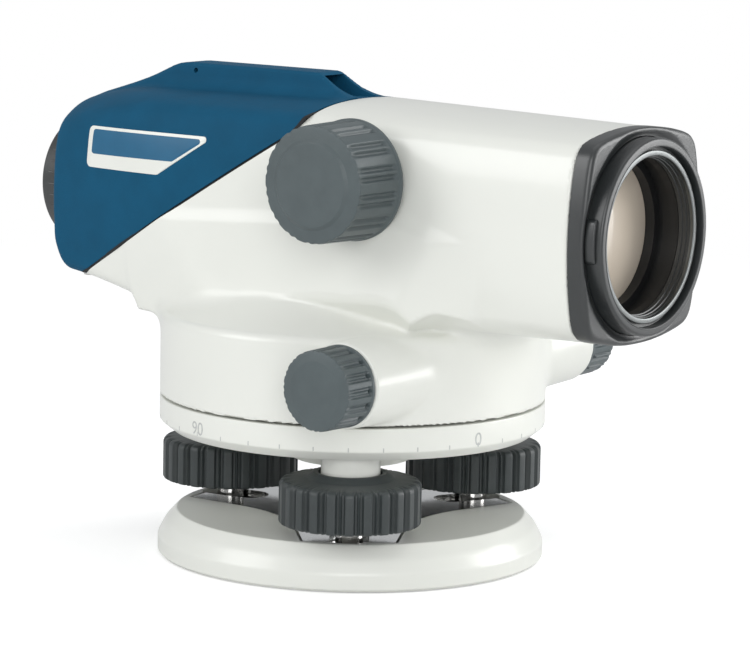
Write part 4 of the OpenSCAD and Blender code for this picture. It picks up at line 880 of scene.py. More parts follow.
@dataclass
class TelescopeForm:
    """Outer form of the telescope, its drum and its hood, as fields in millimetres, below zero inside.

    Pairs are a point in plan, side or cross view, or the start and end of a smooth step.
    """

    axis_z: float = 101.7
    tube_half: float = 31.9
    tube_half_front: float = 29.6
    front_x: float = 92.0
    bulge_r: float = 105.0
    rear_plan: Line = ((25.2, -96.5), (31.6, -60.0))
    roof_z: float = 134.2
    roof_rise: float = 0.0244
    roof_fall: Line = ((-96.5, 128.0), (-78.0, 132.3))
    arch_at: Point = (-94.0, 84.2)
    arch_r: float = 45.0
    arch_growth: float = 0.247
    arch_scale: float = 0.971
    edge_r: float = 39.4
    edge_front_r: float = 36.6
    full_edge: float = 14.0
    full_x: Point = (-6.0, 34.0)
    full_rise: Point = (-18.0, 6.0)
    rear_edge: Line = ((35.0, -89.5), (40.0, -64.0))
    rear_corner: Line = ((27.5, -96.5), (35.0, -89.5))
    heel_room: float = 20.0
    heel_room_x: Point = (-97.0, -90.0)
    heel_room_rise: Point = (-26.0, -8.0)
    heel_at: Point = (-78.0, 76.6)
    heel_fall: float = 0.057
    slope_fall: float = 0.271
    slope_scale: float = 0.965
    floor_z: float = 66.3
    belly_room: float = 12.0
    belly_x: Point = (-6.0, 30.0)
    rear_x: float = -96.5
    rear_lean: float = 0.03
    rear_foot_z: float = 77.0
    rear_heel: Line = ((-90.6, 77.4), (-96.5, 88.6))
    rear_round: float = 3.2
    wall: float = 2.6
    drum_r: float = 56.2
    drum_low_z: float = 46.9
    drum_top_z: float = 71.2
    drum_edge: float = 2.4
    drum_slope: float = 0.11
    drum_cove: float = 0.0115
    cove_y: Point = (-22.0, -6.0)
    drum_fillet: float = 5.0
    crease: float = 3.2
    crease_rear_x: Point = (-34.0, -6.0)
    crease_front_x: Point = (40.0, 56.0)
    crease_y: Point = (-26.0, -18.0)
    seam_at: Point = (-35.0, 104.0)
    seam_angle: float = 31.2
    seam_top_x: float = 4.0
    seam_bend: float = 16.0
    seam_w: float = 0.75
    lip: Point = (-36.0, 80.8)
    lip_hollow: Point = (-30.6, 74.2)
    lip_foot: Point = (-30.8, 68.0)
    lip_fill: float = 7.0
    lip_fill_x: Point = (-20.0, 10.0)
    lip_round: float = 1.5
    lip_bend_x: float = 33.0
    lip_bend_r: float = 20.0
    lip_turn: Point = (-3.6, 19.0)
    lip_blend: float = 6.0
    flare_top: Point = (-32.0, 99.0)
    skirt_rear: Line = ((-58.0, 28.0), (-26.0, 37.4))
    skirt_front: Line = ((38.0, 37.4), (54.0, 29.4))
    skirt_out: float = 1.4
    skirt_half_x: float = 58.0
    skirt_in_y: float = -15.0
    skirt_low_z: float = 69.0
    skirt_rise: float = 10.0
    skirt_rise_x: Point = (34.0, 52.0)
    worm_at: Point = (36.4, 59.9)
    boss_root: Point = (24.0, 13.0)
    boss_end: Point = (54.3, 12.0)
    focus_at: Point = (23.2, 113.8)
    focus_boss_r: float = 11.6
    focus_boss_y: float = -32.5
    focus_root_y: float = -20.0
    ridge_top_z: float = 140.0
    ridge_top_half: float = 5.6
    ridge_foot: Point = (7.0, 133.2)
    ridge_rear: Line = ((-79.7, 131.6), (-62.3, 140.0))
    ridge_front: Line = ((-10.4, 140.0), (-0.4, 133.5))
    ridge_root: Point = (-86.0, 126.0)
    hood_front_x: float = 9.0
    hollow_front_x: float = 86.0
    hollow_low_z: float = 72.4

    def half(self, x: Array) -> Array:
        """Returns the barrel's half width, tapering to the front."""
        return self.tube_half - (self.tube_half - self.tube_half_front) * np.maximum(x, 0.0) / self.front_x

    def bulge(self, out: Array, across: Array, half: Array) -> Array:
        """Returns the field of one bulging side of the barrel."""
        centre = self.bulge_r - self.tube_half_front
        return np.hypot(out + centre, across) - (centre + half)

    def sides(self, x: Array, y: Array, rise: Array) -> Array:
        """Gives the field of both sides, drawn in towards the eyepiece.

        Args:
            x: Places along the sight line.
            y: Places across it.
            rise: Heights above it.

        Returns:
            The field at those places.
        """
        width = np.abs(y)
        plan = beyond(width, x, *self.rear_plan)
        return soft_max(self.bulge(width, rise, self.half(x)), plan, 3.0)

    def top(self, x: Array, y: Array, z: Array) -> Array:
        """Gives the field of the top, arched and falling to the eyepiece.

        Args:
            x: Places along the sight line.
            y: Places across it.
            z: Heights.

        Returns:
            The field at those places.
        """
        crown = self.bulge(z - self.axis_z, y, self.half(x))
        slope = soft_max(z - (self.roof_z + self.roof_rise * x), -beyond(x, z, *self.roof_fall), 2.0)
        arch_x, arch_z = self.arch_at
        arch_r = self.arch_r + self.arch_growth * (x - arch_x)
        arch = (np.hypot(y, z - arch_z) - arch_r) * self.arch_scale
        return soft_max(soft_max(crown, slope, 2.0), arch, 3.0)

    def edges(self, x: Array, y: Array, rise: Array) -> Array:
        """Gives the field that trims the long edges, left full where the barrel joins the drum.

        Args:
            x: Places along the sight line.
            y: Places across it.
            rise: Heights above it.

        Returns:
            The field at those places.
        """
        radius = self.edge_r - (self.edge_r - self.edge_front_r) * np.maximum(x, 0.0) / self.front_x
        full = self.full_edge * (1.0 - ramp(x, *self.full_x)) * (1.0 - ramp(rise, *self.full_rise))
        reach = np.hypot(y, rise)
        trim = reach - radius - full
        rear = soft_max(beyond(reach, x, *self.rear_edge), beyond(reach, x, *self.rear_corner), 5.0)
        room = self.heel_room * (1.0 - ramp(rise, *self.heel_room_rise)) * ramp(x, *self.heel_room_x)
        return soft_max(trim, rear - room, 4.0)

    def underside(self, x: Array, y: Array, z: Array) -> Array:
        """Gives the field of the underside: heel, slope, and the barrel's rounded bottom.

        Args:
            x: Places along the sight line.
            y: Places across it.
            z: Heights.

        Returns:
            The field at those places.
        """
        heel_x, heel_z = self.heel_at
        slope = (heel_z - self.slope_fall * (x - heel_x) - z) * self.slope_scale
        heel = heel_z - self.heel_fall * (x - heel_x) - z
        low = soft_max(soft_min(slope, heel, 2.5), self.floor_z - z, 2.0)
        open_below = self.belly_room * (1.0 - ramp(x, *self.belly_x))
        belly = self.bulge(self.axis_z - z, y, self.half(x)) - open_below
        return soft_max(low, belly, 3.0)

    def body(self, x: Array, y: Array, z: Array) -> Array:
        """Gives the field of the telescope body without skirt, drum or ridge.

        Args:
            x: Places along the sight line.
            y: Places across it.
            z: Heights.

        Returns:
            The field at those places.
        """
        rise = z - self.axis_z
        around = soft_max(self.sides(x, y, rise), self.top(x, y, z), 3.0)
        around = soft_max(around, self.edges(x, y, rise), 5.0)
        around = soft_max(around, self.underside(x, y, z), 4.0)
        heel = beyond(x, z, *self.rear_heel)
        rear = soft_max(self.rear_x - x + self.rear_lean * (z - self.rear_foot_z), -heel, 3.0)
        return round_max(round_max(around, rear, self.rear_round), x - self.front_x, 0.8)

    def skirt(self, x: Array, y: Array, z: Array) -> Array:
        """Gives the field of the lip along the near side, undercut in the middle, falling at the front.

        Args:
            x: Places along the sight line.
            y: Places across it.
            z: Heights.

        Returns:
            The field at those places.
        """
        pivot = self.lip[1] - self.lip_bend_r
        ahead, above = x - self.lip_bend_x, z - pivot
        turn = np.clip(np.arctan2(ahead, above), *(math.radians(a) for a in self.lip_turn))
        level = pivot + ahead * np.sin(turn) + above * np.cos(turn)
        flare = beyond(y, level, self.lip, self.flare_top)
        deep = y + self.lip_fill * (1.0 - ramp(x, *self.lip_fill_x))
        under = soft_min(beyond(deep, level, self.lip, self.lip_hollow),
                         beyond(deep, level, self.lip_hollow, self.lip_foot), 1.0)
        lip = round_max(round_max(-flare, under, self.lip_round), level - self.axis_z, 1.0)
        plan = soft_max(-beyond(x, -y, *self.skirt_rear), self.lip[0] - self.skirt_out - y, 3.0)
        plan = soft_max(plan, -beyond(x, -y, *self.skirt_front), 2.0)
        floor = self.skirt_low_z + self.skirt_rise * ramp(x, *self.skirt_rise_x)
        ends = np.maximum(np.abs(x) - self.skirt_half_x, np.maximum(y - self.skirt_in_y, floor - z))
        return soft_max(soft_max(lip, plan, 1.0), ends, 1.0)

    def drum(self, x: Array, y: Array, z: Array) -> Array:
        """Gives the field of the drum, whose top sweeps up in a cove to the lip on the near side.

        Args:
            x: Places along the sight line.
            y: Places across it.
            z: Heights.

        Returns:
            The field at those places.
        """
        side = np.hypot(x, y) - self.drum_r
        cove = self.drum_cove * np.minimum(side, 0.0) ** 2 * (1.0 - ramp(y, *self.cove_y))
        top = z - self.drum_top_z + self.drum_slope * side - cove
        return round_max(side, top, self.drum_edge)

    def worm_boss(self, x: Array, y: Array, z: Array) -> Array:
        """Gives the field of the tapered bosses of the fine motion shaft.

        Args:
            x: Places along the sight line.
            y: Places across it.
            z: Heights.

        Returns:
            The field at those places.
        """
        out = np.abs(y)
        reach = np.hypot(x - self.worm_at[0], z - self.worm_at[1])
        (root_y, root_r), (end_y, end_r) = self.boss_root, self.boss_end
        cone = reach - (root_r + (end_r - root_r) * (out - root_y) / (end_y - root_y))
        return soft_max(round_max(cone, out - end_y, 0.8), root_y - out, 1.0)

    def focus_boss(self, x: Array, y: Array, z: Array) -> Array:
        """Gives the field of the low boss behind the focus knob.

        Args:
            x: Places along the sight line.
            y: Places across it.
            z: Heights.

        Returns:
            The field at those places.
        """
        reach = np.hypot(x - self.focus_at[0], z - self.focus_at[1])
        boss = round_max(reach - self.focus_boss_r, self.focus_boss_y - y, 0.6)
        return np.maximum(boss, y - self.focus_root_y)

    def ridge(self, x: Array, y: Array, z: Array) -> Array:
        """Gives the field of the sighting ridge on the hood.

        Args:
            x: Places along the sight line.
            y: Places across it.
            z: Heights.

        Returns:
            The field at those places.
        """
        flank = beyond(np.abs(y), z, self.ridge_foot, (self.ridge_top_half, self.ridge_top_z))
        crest = round_max(flank, z - self.ridge_top_z, 1.0)
        rear, front = -beyond(x, z, *self.ridge_rear), -beyond(x, z, *self.ridge_front)
        root = np.maximum(self.ridge_root[1] - z, self.ridge_root[0] - x)
        return np.maximum(round_max(soft_max(crest, rear, 2.0), front, 0.5), root)

    def seam_line(self, back: float) -> list[Point]:
        """Draws the hood's seam in side view, moved back from the housing's edge.

        Args:
            back: Distance behind the housing's edge, square to the seam.

        Returns:
            X and Z of its points, from far below the hood to far above it.
        """
        angle = math.radians(self.seam_angle)
        slope = math.tan(angle)
        top_x = self.seam_top_x - back
        lift = self.seam_at[1] + back / math.cos(angle)
        corners = [(-FAR, lift + slope * (-FAR - self.seam_at[0]), 0.0),
                   (top_x, lift + slope * (top_x - self.seam_at[0]), self.seam_bend), (top_x, FAR, 0.0)]
        return rounded(corners, 24)

    def housing(self, x: Array, y: Array, z: Array) -> Array:
        """Gives the field of the white housing, outside only.

        Args:
            x: Places along the sight line.
            y: Places across it.
            z: Heights.

        Returns:
            The field at those places.
        """
        shape = soft_min(self.body(x, y, z), self.skirt(x, y, z), self.lip_blend)
        shape = np.minimum(shape, self.focus_boss(x, y, z))
        base = soft_min(self.drum(x, y, z), self.worm_boss(x, y, z), 2.0)
        under_lip = ramp(x, *self.crease_rear_x) * (1.0 - ramp(x, *self.crease_front_x))
        under_lip = under_lip * (1.0 - ramp(y, *self.crease_y))
        fillet = self.drum_fillet - self.crease * under_lip
        return round_max(soft_min(shape, base, fillet), self.drum_low_z - z, 0.4)

    def hood(self, x: Array, y: Array, z: Array) -> Array:
        """Returns the field of the blue hood, outside only."""
        shape = soft_min(self.body(x, y, z), self.ridge(x, y, z), 4.0)
        return round_max(shape, x - self.hood_front_x, 0.5)

    def hollow(self, x: Array, y: Array, z: Array) -> Array:
        """Returns the field of the space for the optics."""
        shape = round_max(self.body(x, y, z) + self.wall, self.hollow_low_z - z, 0.8)
        return round_max(shape, x - self.hollow_front_x, 0.8)


@dataclass
class Telescope:
    """Housing and hood of the telescope, with the blank label plate on the hood."""

    form: TelescopeForm = field(default_factory=TelescopeForm)
    housing_step: float = 1.0
    hood_step: float = 0.9
    hollow_step: float = 2.0
    drum_in_r: float = 52.8
    drum_roof_z: float = 68.6
    objective_bore_r: float = 24.02
    focus_bore_r: float = 6.02
    worm_bore_r: float = 7.02
    housing_box: Box = ((-99.0, -59.0, 44.6), (94.6, 59.0, 136.0))
    hood_box: Box = ((-99.0, -37.0, 62.0), (12.0, 37.0, 142.0))
    hollow_box: Box = ((-97.0, -36.0, 70.0), (89.0, 36.0, 136.0))
    cut_half_y: float = 80.0
    cut_low_z: float = -100.0
    tunnel: Box = ((-56.5, -4.5, 133.2), (20.0, 4.5, 139.1))
    peep_r: float = 1.4
    pin_at: Point = (-55.4, 137.8)
    pin_r: float = 0.75
    eyepiece_bore_r: float = 15.02
    label: Sequence[Corner] = ((-55.0, 121.4, 0.0), (-29.2, 121.4, 1.0), (-48.8, 109.15, 2.5),
                               (-78.3, 109.15, 1.6), (-77.0, 121.4, 1.6), (-55.0, 121.4, 0.0))
    label_field: Sequence[Corner] = ((-55.0, 120.5, 0.0), (-31.6, 120.5, 0.8), (-43.4, 113.4, 1.5),
                                     (-76.0, 113.2, 1.0), (-75.2, 120.5, 1.0), (-55.0, 120.5, 0.0))
    label_rise: float = 0.25
    field_rise: float = 0.3
    field_back: float = 0.1
    field_edge: float = 0.04

    def build(self) -> None:
        """Builds the housing, the hood and the label."""
        self.build_housing()
        self.build_hood()
        plate = SurfacePlate(self.label, self.label_rise)
        fit(plate.build("label_plate", self.form.hood), "alidade", WHITE_PAINT)
        colour = SurfacePlate(self.label_field, self.field_rise, -self.field_back, edge=self.field_edge)
        fit(colour.build("label_field", self.form.hood), "alidade", LABEL_BLUE)

    def build_hollow(self) -> bpy.types.Object:
        """Returns the shape of the space for the optics, used to cut both shells."""
        return FieldSolid(*self.hollow_box, self.hollow_step).build("hollow", self.form.hollow)

    def build_seam(self, hood: bool) -> bpy.types.Object:
        """Builds the block on one side of the seam, used to cut the other side's shell.

        Args:
            hood: True for the hood's side, False for the housing's.

        Returns:
            The closed block.
        """
        line = self.form.seam_line(0.0 if hood else self.form.seam_w)
        ahead = [(FAR, FAR), (FAR, self.cut_low_z), (-FAR, self.cut_low_z)]
        outline = line + ([(-FAR, FAR)] if hood else ahead)
        count = len(outline)
        points = [(x, y, z) for y in (-self.cut_half_y, self.cut_half_y) for x, z in outline]
        faces = [list(range(count)), list(range(count, 2 * count))]
        faces += [[k, (k + 1) % count, (k + 1) % count + count, k + count] for k in range(count)]
        made = make_object("seam_side", np.array(points), faces)
        tidy_normals(made)
        return made

    def build_housing(self) -> None:
        """Builds the white housing with its bores."""
        form = self.form
        piece = FieldSolid(*self.housing_box, self.housing_step).build("housing_shell", form.housing)
        (worm_x, worm_z), (focus_x, focus_z) = form.worm_at, form.focus_at
        carve(piece, [
            self.build_seam(True),
            self.build_hollow(),
            rod("drum_hollow", Axis.PLUMB, (0, 0, 0), (40.0, self.drum_roof_z), self.drum_in_r),
            rod("objective_bore", Axis.SIGHT, (0, 0, form.axis_z), (80.0, 96.0), self.objective_bore_r),
            rod("focus_bore", Axis.ACROSS, (focus_x, 0, focus_z), (-60.0, -20.0), self.focus_bore_r),
            rod("worm_bore", Axis.ACROSS, (worm_x, 0, worm_z), (-60.0, 60.0), self.worm_bore_r)])
        field_normals(piece, form.housing)
        fit(piece, "alidade", WHITE_PAINT, ["main_housing"])

    def build_hood(self) -> None:
        """Builds the blue hood with its sighting tunnel and holes."""
        form = self.form
        piece = FieldSolid(*self.hood_box, self.hood_step).build("hood_shell", form.hood)
        middle_z = (self.tunnel[0][2] + self.tunnel[1][2]) / 2.0
        carve(piece, [
            self.build_seam(False),
            self.build_hollow(),
            block("tunnel", *self.tunnel),
            rod("peep_hole", Axis.SIGHT, (0, 0, middle_z), (-90.0, -50.0), self.peep_r),
            rod("pin_hole", Axis.ACROSS, (self.pin_at[0], 0, self.pin_at[1]), (-20.0, -4.0), self.pin_r),
            rod("eyepiece_bore", Axis.SIGHT, (0, 0, form.axis_z), (-110.0, -80.0), self.eyepiece_bore_r)])
        field_normals(piece, form.hood)
        fit(piece, "alidade", BLUE_SHELL, ["eyepiece_hood"])


@dataclass(frozen=True)
class Lamp:
    """Square lamp, placed in metres."""

    name: str
    place: Corner
    size: float
    power: float


@dataclass
class Studio:
    """Camera, lamps, floor and surroundings of the photograph."""

    camera_at: tuple[float, float, float] = (607.1, -824.7, 223.5)
    azimuth: float = 36.018
    elevation: float = 8.694
    roll: float = 1.147
    lens_px: float = 3560.275
    image_w: float = 750.0
    sensor_w: float = 36.0
    floor_half: float = 6.0
    floor_z: float = -0.3
    floor_lift: float = 0.35
    floor_fade: Point = (0.25, 0.7)
    soft_tint: Corner = (0.97, 0.985, 1.0)
    soft_light: float = 0.52
    aim: Corner = (0.0, 0.0, 0.085)
    lamps: Sequence[Lamp] = (
        Lamp("key", (-0.85, -1.25, 0.85), 0.9, 8.2), Lamp("fill", (1.0, -1.25, 0.65), 0.9, 8.6),
        Lamp("side", (0.9, 0.95, 0.4), 0.8, 9.8), Lamp("top", (0.1, 0.25, 1.6), 1.3, 3.4))

    def build(self) -> None:
        """Sets up the whole studio."""
        bpy.context.scene.view_settings.view_transform = "Standard"
        self.build_camera()
        self.build_world()
        self.build_floor()
        self.build_lamps()

    def build_camera(self) -> None:
        """Puts the camera where the photograph was taken from."""
        data = bpy.data.cameras.new("photo_camera")
        data.sensor_fit = "HORIZONTAL"
        data.sensor_width = self.sensor_w
        data.lens = self.lens_px / self.image_w * self.sensor_w
        data.clip_end = 50.0
        camera = bpy.data.objects.new("photo_camera", data)
        bpy.context.scene.collection.objects.link(camera)
        az, el, roll = (math.radians(v) for v in (self.azimuth, self.elevation, self.roll))
        back = Vector((math.sin(az) * math.cos(el), -math.cos(az) * math.cos(el), math.sin(el)))
        right = Vector((math.cos(az), math.sin(az), 0.0))
        up = back.cross(right)
        level_right = right * math.cos(roll) + up * math.sin(roll)
        level_up = up * math.cos(roll) - right * math.sin(roll)
        stand = Matrix((level_right, level_up, back)).transposed().to_4x4()
        stand.translation = Vector(self.camera_at) * MM
        camera.matrix_world = stand
        bpy.context.scene.camera = camera

    def build_world(self) -> None:
        """Makes even soft light, white to the eye."""
        world = bpy.data.worlds.new("studio")
        bpy.context.scene.world = world
        world.use_nodes = True
        tree = world.node_tree
        soft = tree.nodes["Background"]
        soft.inputs["Color"].default_value = (*self.soft_tint, 1.0)
        soft.inputs["Strength"].default_value = self.soft_light
        white = tree.nodes.new("ShaderNodeBackground")
        white.inputs["Color"].default_value = (1.0, 1.0, 1.0, 1.0)
        mix = tree.nodes.new("ShaderNodeMixShader")
        tree.links.new(self.seen_ray(tree), mix.inputs["Fac"])
        tree.links.new(soft.outputs[0], mix.inputs[1])
        tree.links.new(white.outputs[0], mix.inputs[2])
        tree.links.new(mix.outputs[0], tree.nodes["World Output"].inputs["Surface"])

    def build_floor(self) -> None:
        """Lays a plain pale floor that is white to the eye and keeps the shadow."""
        half, z = self.floor_half / MM, self.floor_z
        corners = [(-half, -half, z), (half, -half, z), (half, half, z), (-half, half, z)]
        floor = make_object("floor", np.array(corners), [(0, 1, 2, 3)])
        floor.data.materials.append(self.floor_paper())

    def floor_paper(self) -> bpy.types.Material:
        """Makes white paper, lifted to white where the eye sees it, evenly so far off.

        Returns:
            The floor's material.
        """
        paper = Finish("pale_floor_paper", "white_paint", (0.86, 0.86, 0.86), 0.8, mottle=400.0,
                       mottle_depth=0.01, grain=2.0, grain_depth=0.01, specular=0.1).material()
        tree = paper.node_tree
        add, link = tree.nodes.new, tree.links.new
        shader, out = tree.nodes["Principled BSDF"], tree.nodes["Material Output"]
        lift, white, both = add("ShaderNodeEmission"), add("ShaderNodeEmission"), add("ShaderNodeAddShader")
        lift.inputs["Strength"].default_value = self.floor_lift
        white.inputs["Strength"].default_value = 1.0
        place, length, far = add("ShaderNodeTexCoord"), add("ShaderNodeVectorMath"), add("ShaderNodeMapRange")
        length.operation = "LENGTH"
        far.inputs["From Min"].default_value, far.inputs["From Max"].default_value = self.floor_fade
        link(place.outputs["Object"], length.inputs[0])
        link(length.outputs["Value"], far.inputs["Value"])
        link(shader.outputs[0], both.inputs[0])
        link(lift.outputs[0], both.inputs[1])
        spread, final = add("ShaderNodeMixShader"), add("ShaderNodeMixShader")
        link(far.outputs["Result"], spread.inputs["Fac"])
        link(both.outputs[0], spread.inputs[1])
        link(white.outputs[0], spread.inputs[2])
        link(self.seen_ray(tree), final.inputs["Fac"])
        link(shader.outputs[0], final.inputs[1])
        link(spread.outputs[0], final.inputs[2])
        link(final.outputs[0], out.inputs["Surface"])
        return paper

    def seen_ray(self, tree: bpy.types.NodeTree) -> bpy.types.NodeSocket:
        """Marks the rays that the eye sees, also through glass.

        Args:
            tree: Nodes of the world or of a material.

        Returns:
            A socket that is 1 for those rays.
        """
        path, either = tree.nodes.new("ShaderNodeLightPath"), tree.nodes.new("ShaderNodeMath")
        either.operation = "MAXIMUM"
        tree.links.new(path.outputs["Is Camera Ray"], either.inputs[0])
        tree.links.new(path.outputs["Is Transmission Ray"], either.inputs[1])
        return either.outputs[0]

    def build_lamps(self) -> None:
        """Hangs the key, fill, side and top lamps."""
        for lamp in self.lamps:
            data = bpy.data.lights.new(lamp.name, "AREA")
            data.size, data.energy = lamp.size, lamp.power
            hung = bpy.data.objects.new(lamp.name, data)
            hung.location = lamp.place
            beam = Vector(self.aim) - Vector(lamp.place)
            hung.rotation_euler = beam.to_track_quat("-Z", "Y").to_euler()
            bpy.context.scene.collection.objects.link(hung)


@dataclass
class GripProfile:
    """Outline of a hand grip whose side has grooves in pairs, a thin rib between the two of each pair.

    Stations are radius, height, groove depth and depth of the notch between the two grooves, from one
    end of the outline to the other.
    """

    stations: Sequence[Station]
    pairs: int
    reference_r: float
    spread: float
    groove_w: float
    groove_edge: float
    samples: int = 26
    closed: bool = False
    notch_w: float = 1.0
    sharp: float = 38.0

    def depth(self, angle: Array) -> Array:
        """Gives the groove's share of its depth.

        Args:
            angle: Angles from the middle of a pair.

        Returns:
            The share at each, 1 in the middle of a groove.
        """
        across = angle * self.reference_r
        share = np.zeros_like(across)
        for middle in (-self.spread, self.spread):
            off = np.abs(across - middle)
            low, high = self.groove_w / 2 - self.groove_edge, self.groove_w / 2 + self.groove_edge
            share = np.maximum(share, 1.0 - ramp(off, low, high))
        return share

    def sector(self, name: str) -> bpy.types.Object:
        """Makes one sector, a pair of grooves in its middle.

        Args:
            name: Name of the object.

        Returns:
            The sector about +Z, to be repeated round it.
        """
        half = math.pi / self.pairs
        angles = np.linspace(-half, half, self.samples + 1)
        share = self.depth(angles)
        pit = 1.0 - ramp(np.abs(angles) * self.reference_r, 0.2 * self.notch_w, 0.7 * self.notch_w)
        rows = []
        for radius, height, depth, notch in self.stations:
            reach = radius - np.maximum(depth * share, notch * pit)
            rows.append(np.stack([reach * np.cos(angles), reach * np.sin(angles),
                                  np.full_like(angles, height)], axis=1))
        width, count = len(angles), len(self.stations)
        points = np.concatenate(rows)
        faces = []
        for row in range(count if self.closed else count - 1):
            low, high = row * width, (row + 1) % count * width
            for k in range(self.samples):
                faces.append((low + k, low + k + 1, high + k + 1, high + k))
        return make_object(name, points, faces)

    def build(
        self, name: str, finish: Finish, axis: Axis, at: Sequence[float], first: float = 0.0
    ) -> bpy.types.Object:
        """Repeats the sector into a whole grip and closes it.

        Args:
            name: Name of the grip.
            finish: Its finish.
            axis: Line that it turns about.
            at: Where the axis and height zero are.
            first: Angle of the first pair in degrees.

        Returns:
            The grip as one plain mesh object.
        """
        made = RoundAxis.repeat(name, self.sector(name + "_sector"), self.pairs, finish, axis, at, first)
        work = bmesh.new()
        work.from_mesh(made.data)
        bmesh.ops.dissolve_degenerate(work, edges=work.edges, dist=1e-7)
        bmesh.ops.recalc_face_normals(work, faces=work.faces)
        work.to_mesh(made.data)
        work.free()
        made.data.set_sharp_from_angle(angle=math.radians(self.sharp))
        return made


def no_notch(r: float, h: float) -> float:
    """Returns the depth of the notch on a grip that has none."""
    return 0.0


def stations(
    corners: Sequence[Corner], depth: Callable[[float, float], float], steps: int = 5, longest: float = 1.2,
    notch: Callable[[float, float], float] = no_notch,
) -> list[Station]:
    """Spaces a grip's stations along an outline with rounded corners.

    Args:
        corners: Radius, height and rounding of each corner; the first and last stay as they are.
        depth: Gives the groove depth at a radius and height.
        steps: Pieces of each rounding.
        longest: Longest stretch between two stations.
        notch: Gives the depth of the notch at a radius and height.

    Returns:
        The stations, from the first corner to the last.
    """
    outline = rounded(corners, steps)
    spots: list[Point] = []
    for (r0, h0), (r1, h1) in zip(outline, outline[1:]):
        parts = max(1, math.ceil(math.hypot(r1 - r0, h1 - h0) / longest))
        spots += [(r0 + (r1 - r0) * k / parts, h0 + (h1 - h0) * k / parts) for k in range(parts)]
    spots.append(outline[-1])
    return [(r, h, depth(r, h), notch(r, h)) for r, h in spots]


def step_up(value: float, start: float, end: float) -> float:
    """Smooth step of one number, from 0 at start to 1 at end."""
    return float(ramp(np.array(value), start, end))


@dataclass
class FocusControl:
    """Large focus knob on the near side, with its cap."""

    at: Point = (23.2, 113.8)
    front_y: float = -52.4
    rear_y: float = -33.0
    front_r: float = 16.4
    rear_r: float = 17.1
    rim_w: float = 1.1
    cap_r: float = 12.6
    cap_rise: float = 0.8
    seat: float = 1.2
    shaft_r: float = 3.05
    shaft_end_y: float = -46.0
    pairs: int = 14
    groove_depth: float = 0.9

    def groove(self, r: float, y: float) -> float:
        """Gives the groove depth, opening at the bevel's edge and closed before the rear rim.

        Args:
            r: Radius of the place.
            y: Its Y.

        Returns:
            The depth at that place.
        """
        if r < self.cap_r + 1.0:
            return 0.0
        bevel = step_up(r, self.front_r - 1.2, self.front_r - 0.2) if y < self.front_y + 0.9 else 1.0
        along = 0.28 + 0.72 * step_up(y, self.front_y + 0.4, self.front_y + 3.2)
        return self.groove_depth * bevel * along * (1.0 - step_up(y, self.rear_y - 3.2, self.rear_y - 2.0))

    def build(self) -> None:
        """Builds the knob and its cap."""
        place = (self.at[0], 0.0, self.at[1])
        rim_y, top_y = self.rear_y - self.rim_w, self.front_y - self.cap_rise
        stem_r, under_y = self.cap_r - 0.62, self.front_y + self.seat - 0.02
        corners = [
            (0.0, self.front_y + self.seat, 0.0), (self.cap_r - 0.6, self.front_y + self.seat, 0.0),
            (self.cap_r - 0.6, self.front_y - 0.2, 0.0), (self.front_r - 0.1, self.front_y + 0.3, 0.35),
            (self.front_r + 0.02, self.front_y + 2.0, 0.5), (self.rear_r - 0.35, self.rear_y - 3.0, 0.0),
            (self.rear_r - 0.3, rim_y - 0.5, 0.3),
            (self.rear_r, rim_y, 0.25), (self.rear_r, self.rear_y, 0.3),
            (self.rear_r - 4.5, self.rear_y, 0.0), (self.rear_r - 4.5, self.rear_y - 9.0, 0.0),
            (self.shaft_r + 3.0, self.rear_y - 9.0, 0.0), (self.shaft_r + 3.0, self.rear_y, 0.0),
            (self.shaft_r, self.rear_y, 0.0), (self.shaft_r, self.shaft_end_y, 0.0),
            (0.0, self.shaft_end_y, 0.0)]
        grip = GripProfile(stations(corners, self.groove, 5, 0.9), self.pairs, self.front_r, spread=1.3,
                           groove_w=1.3, groove_edge=0.42, samples=40)
        knob = grip.build("focus_grip", GREY_GRIP, Axis.ACROSS, place, 360.0 / self.pairs / 2.0)
        fit(knob, "focus_drive", GREY_GRIP, ["focus_knob"])
        cap = turned("focus_cap", rounded([
            (0.0, top_y, 0.0), (self.cap_r - 1.0, top_y, 0.35), (self.cap_r, self.front_y - 0.13, 0.0),
            (stem_r, self.front_y - 0.1, 0.0), (stem_r, under_y, 0.0), (0.0, under_y, 0.0)], 6),
            Axis.ACROSS, place)
        fit(cap, "focus_drive", GREY_GRIP, ["focus_knob_cap"])


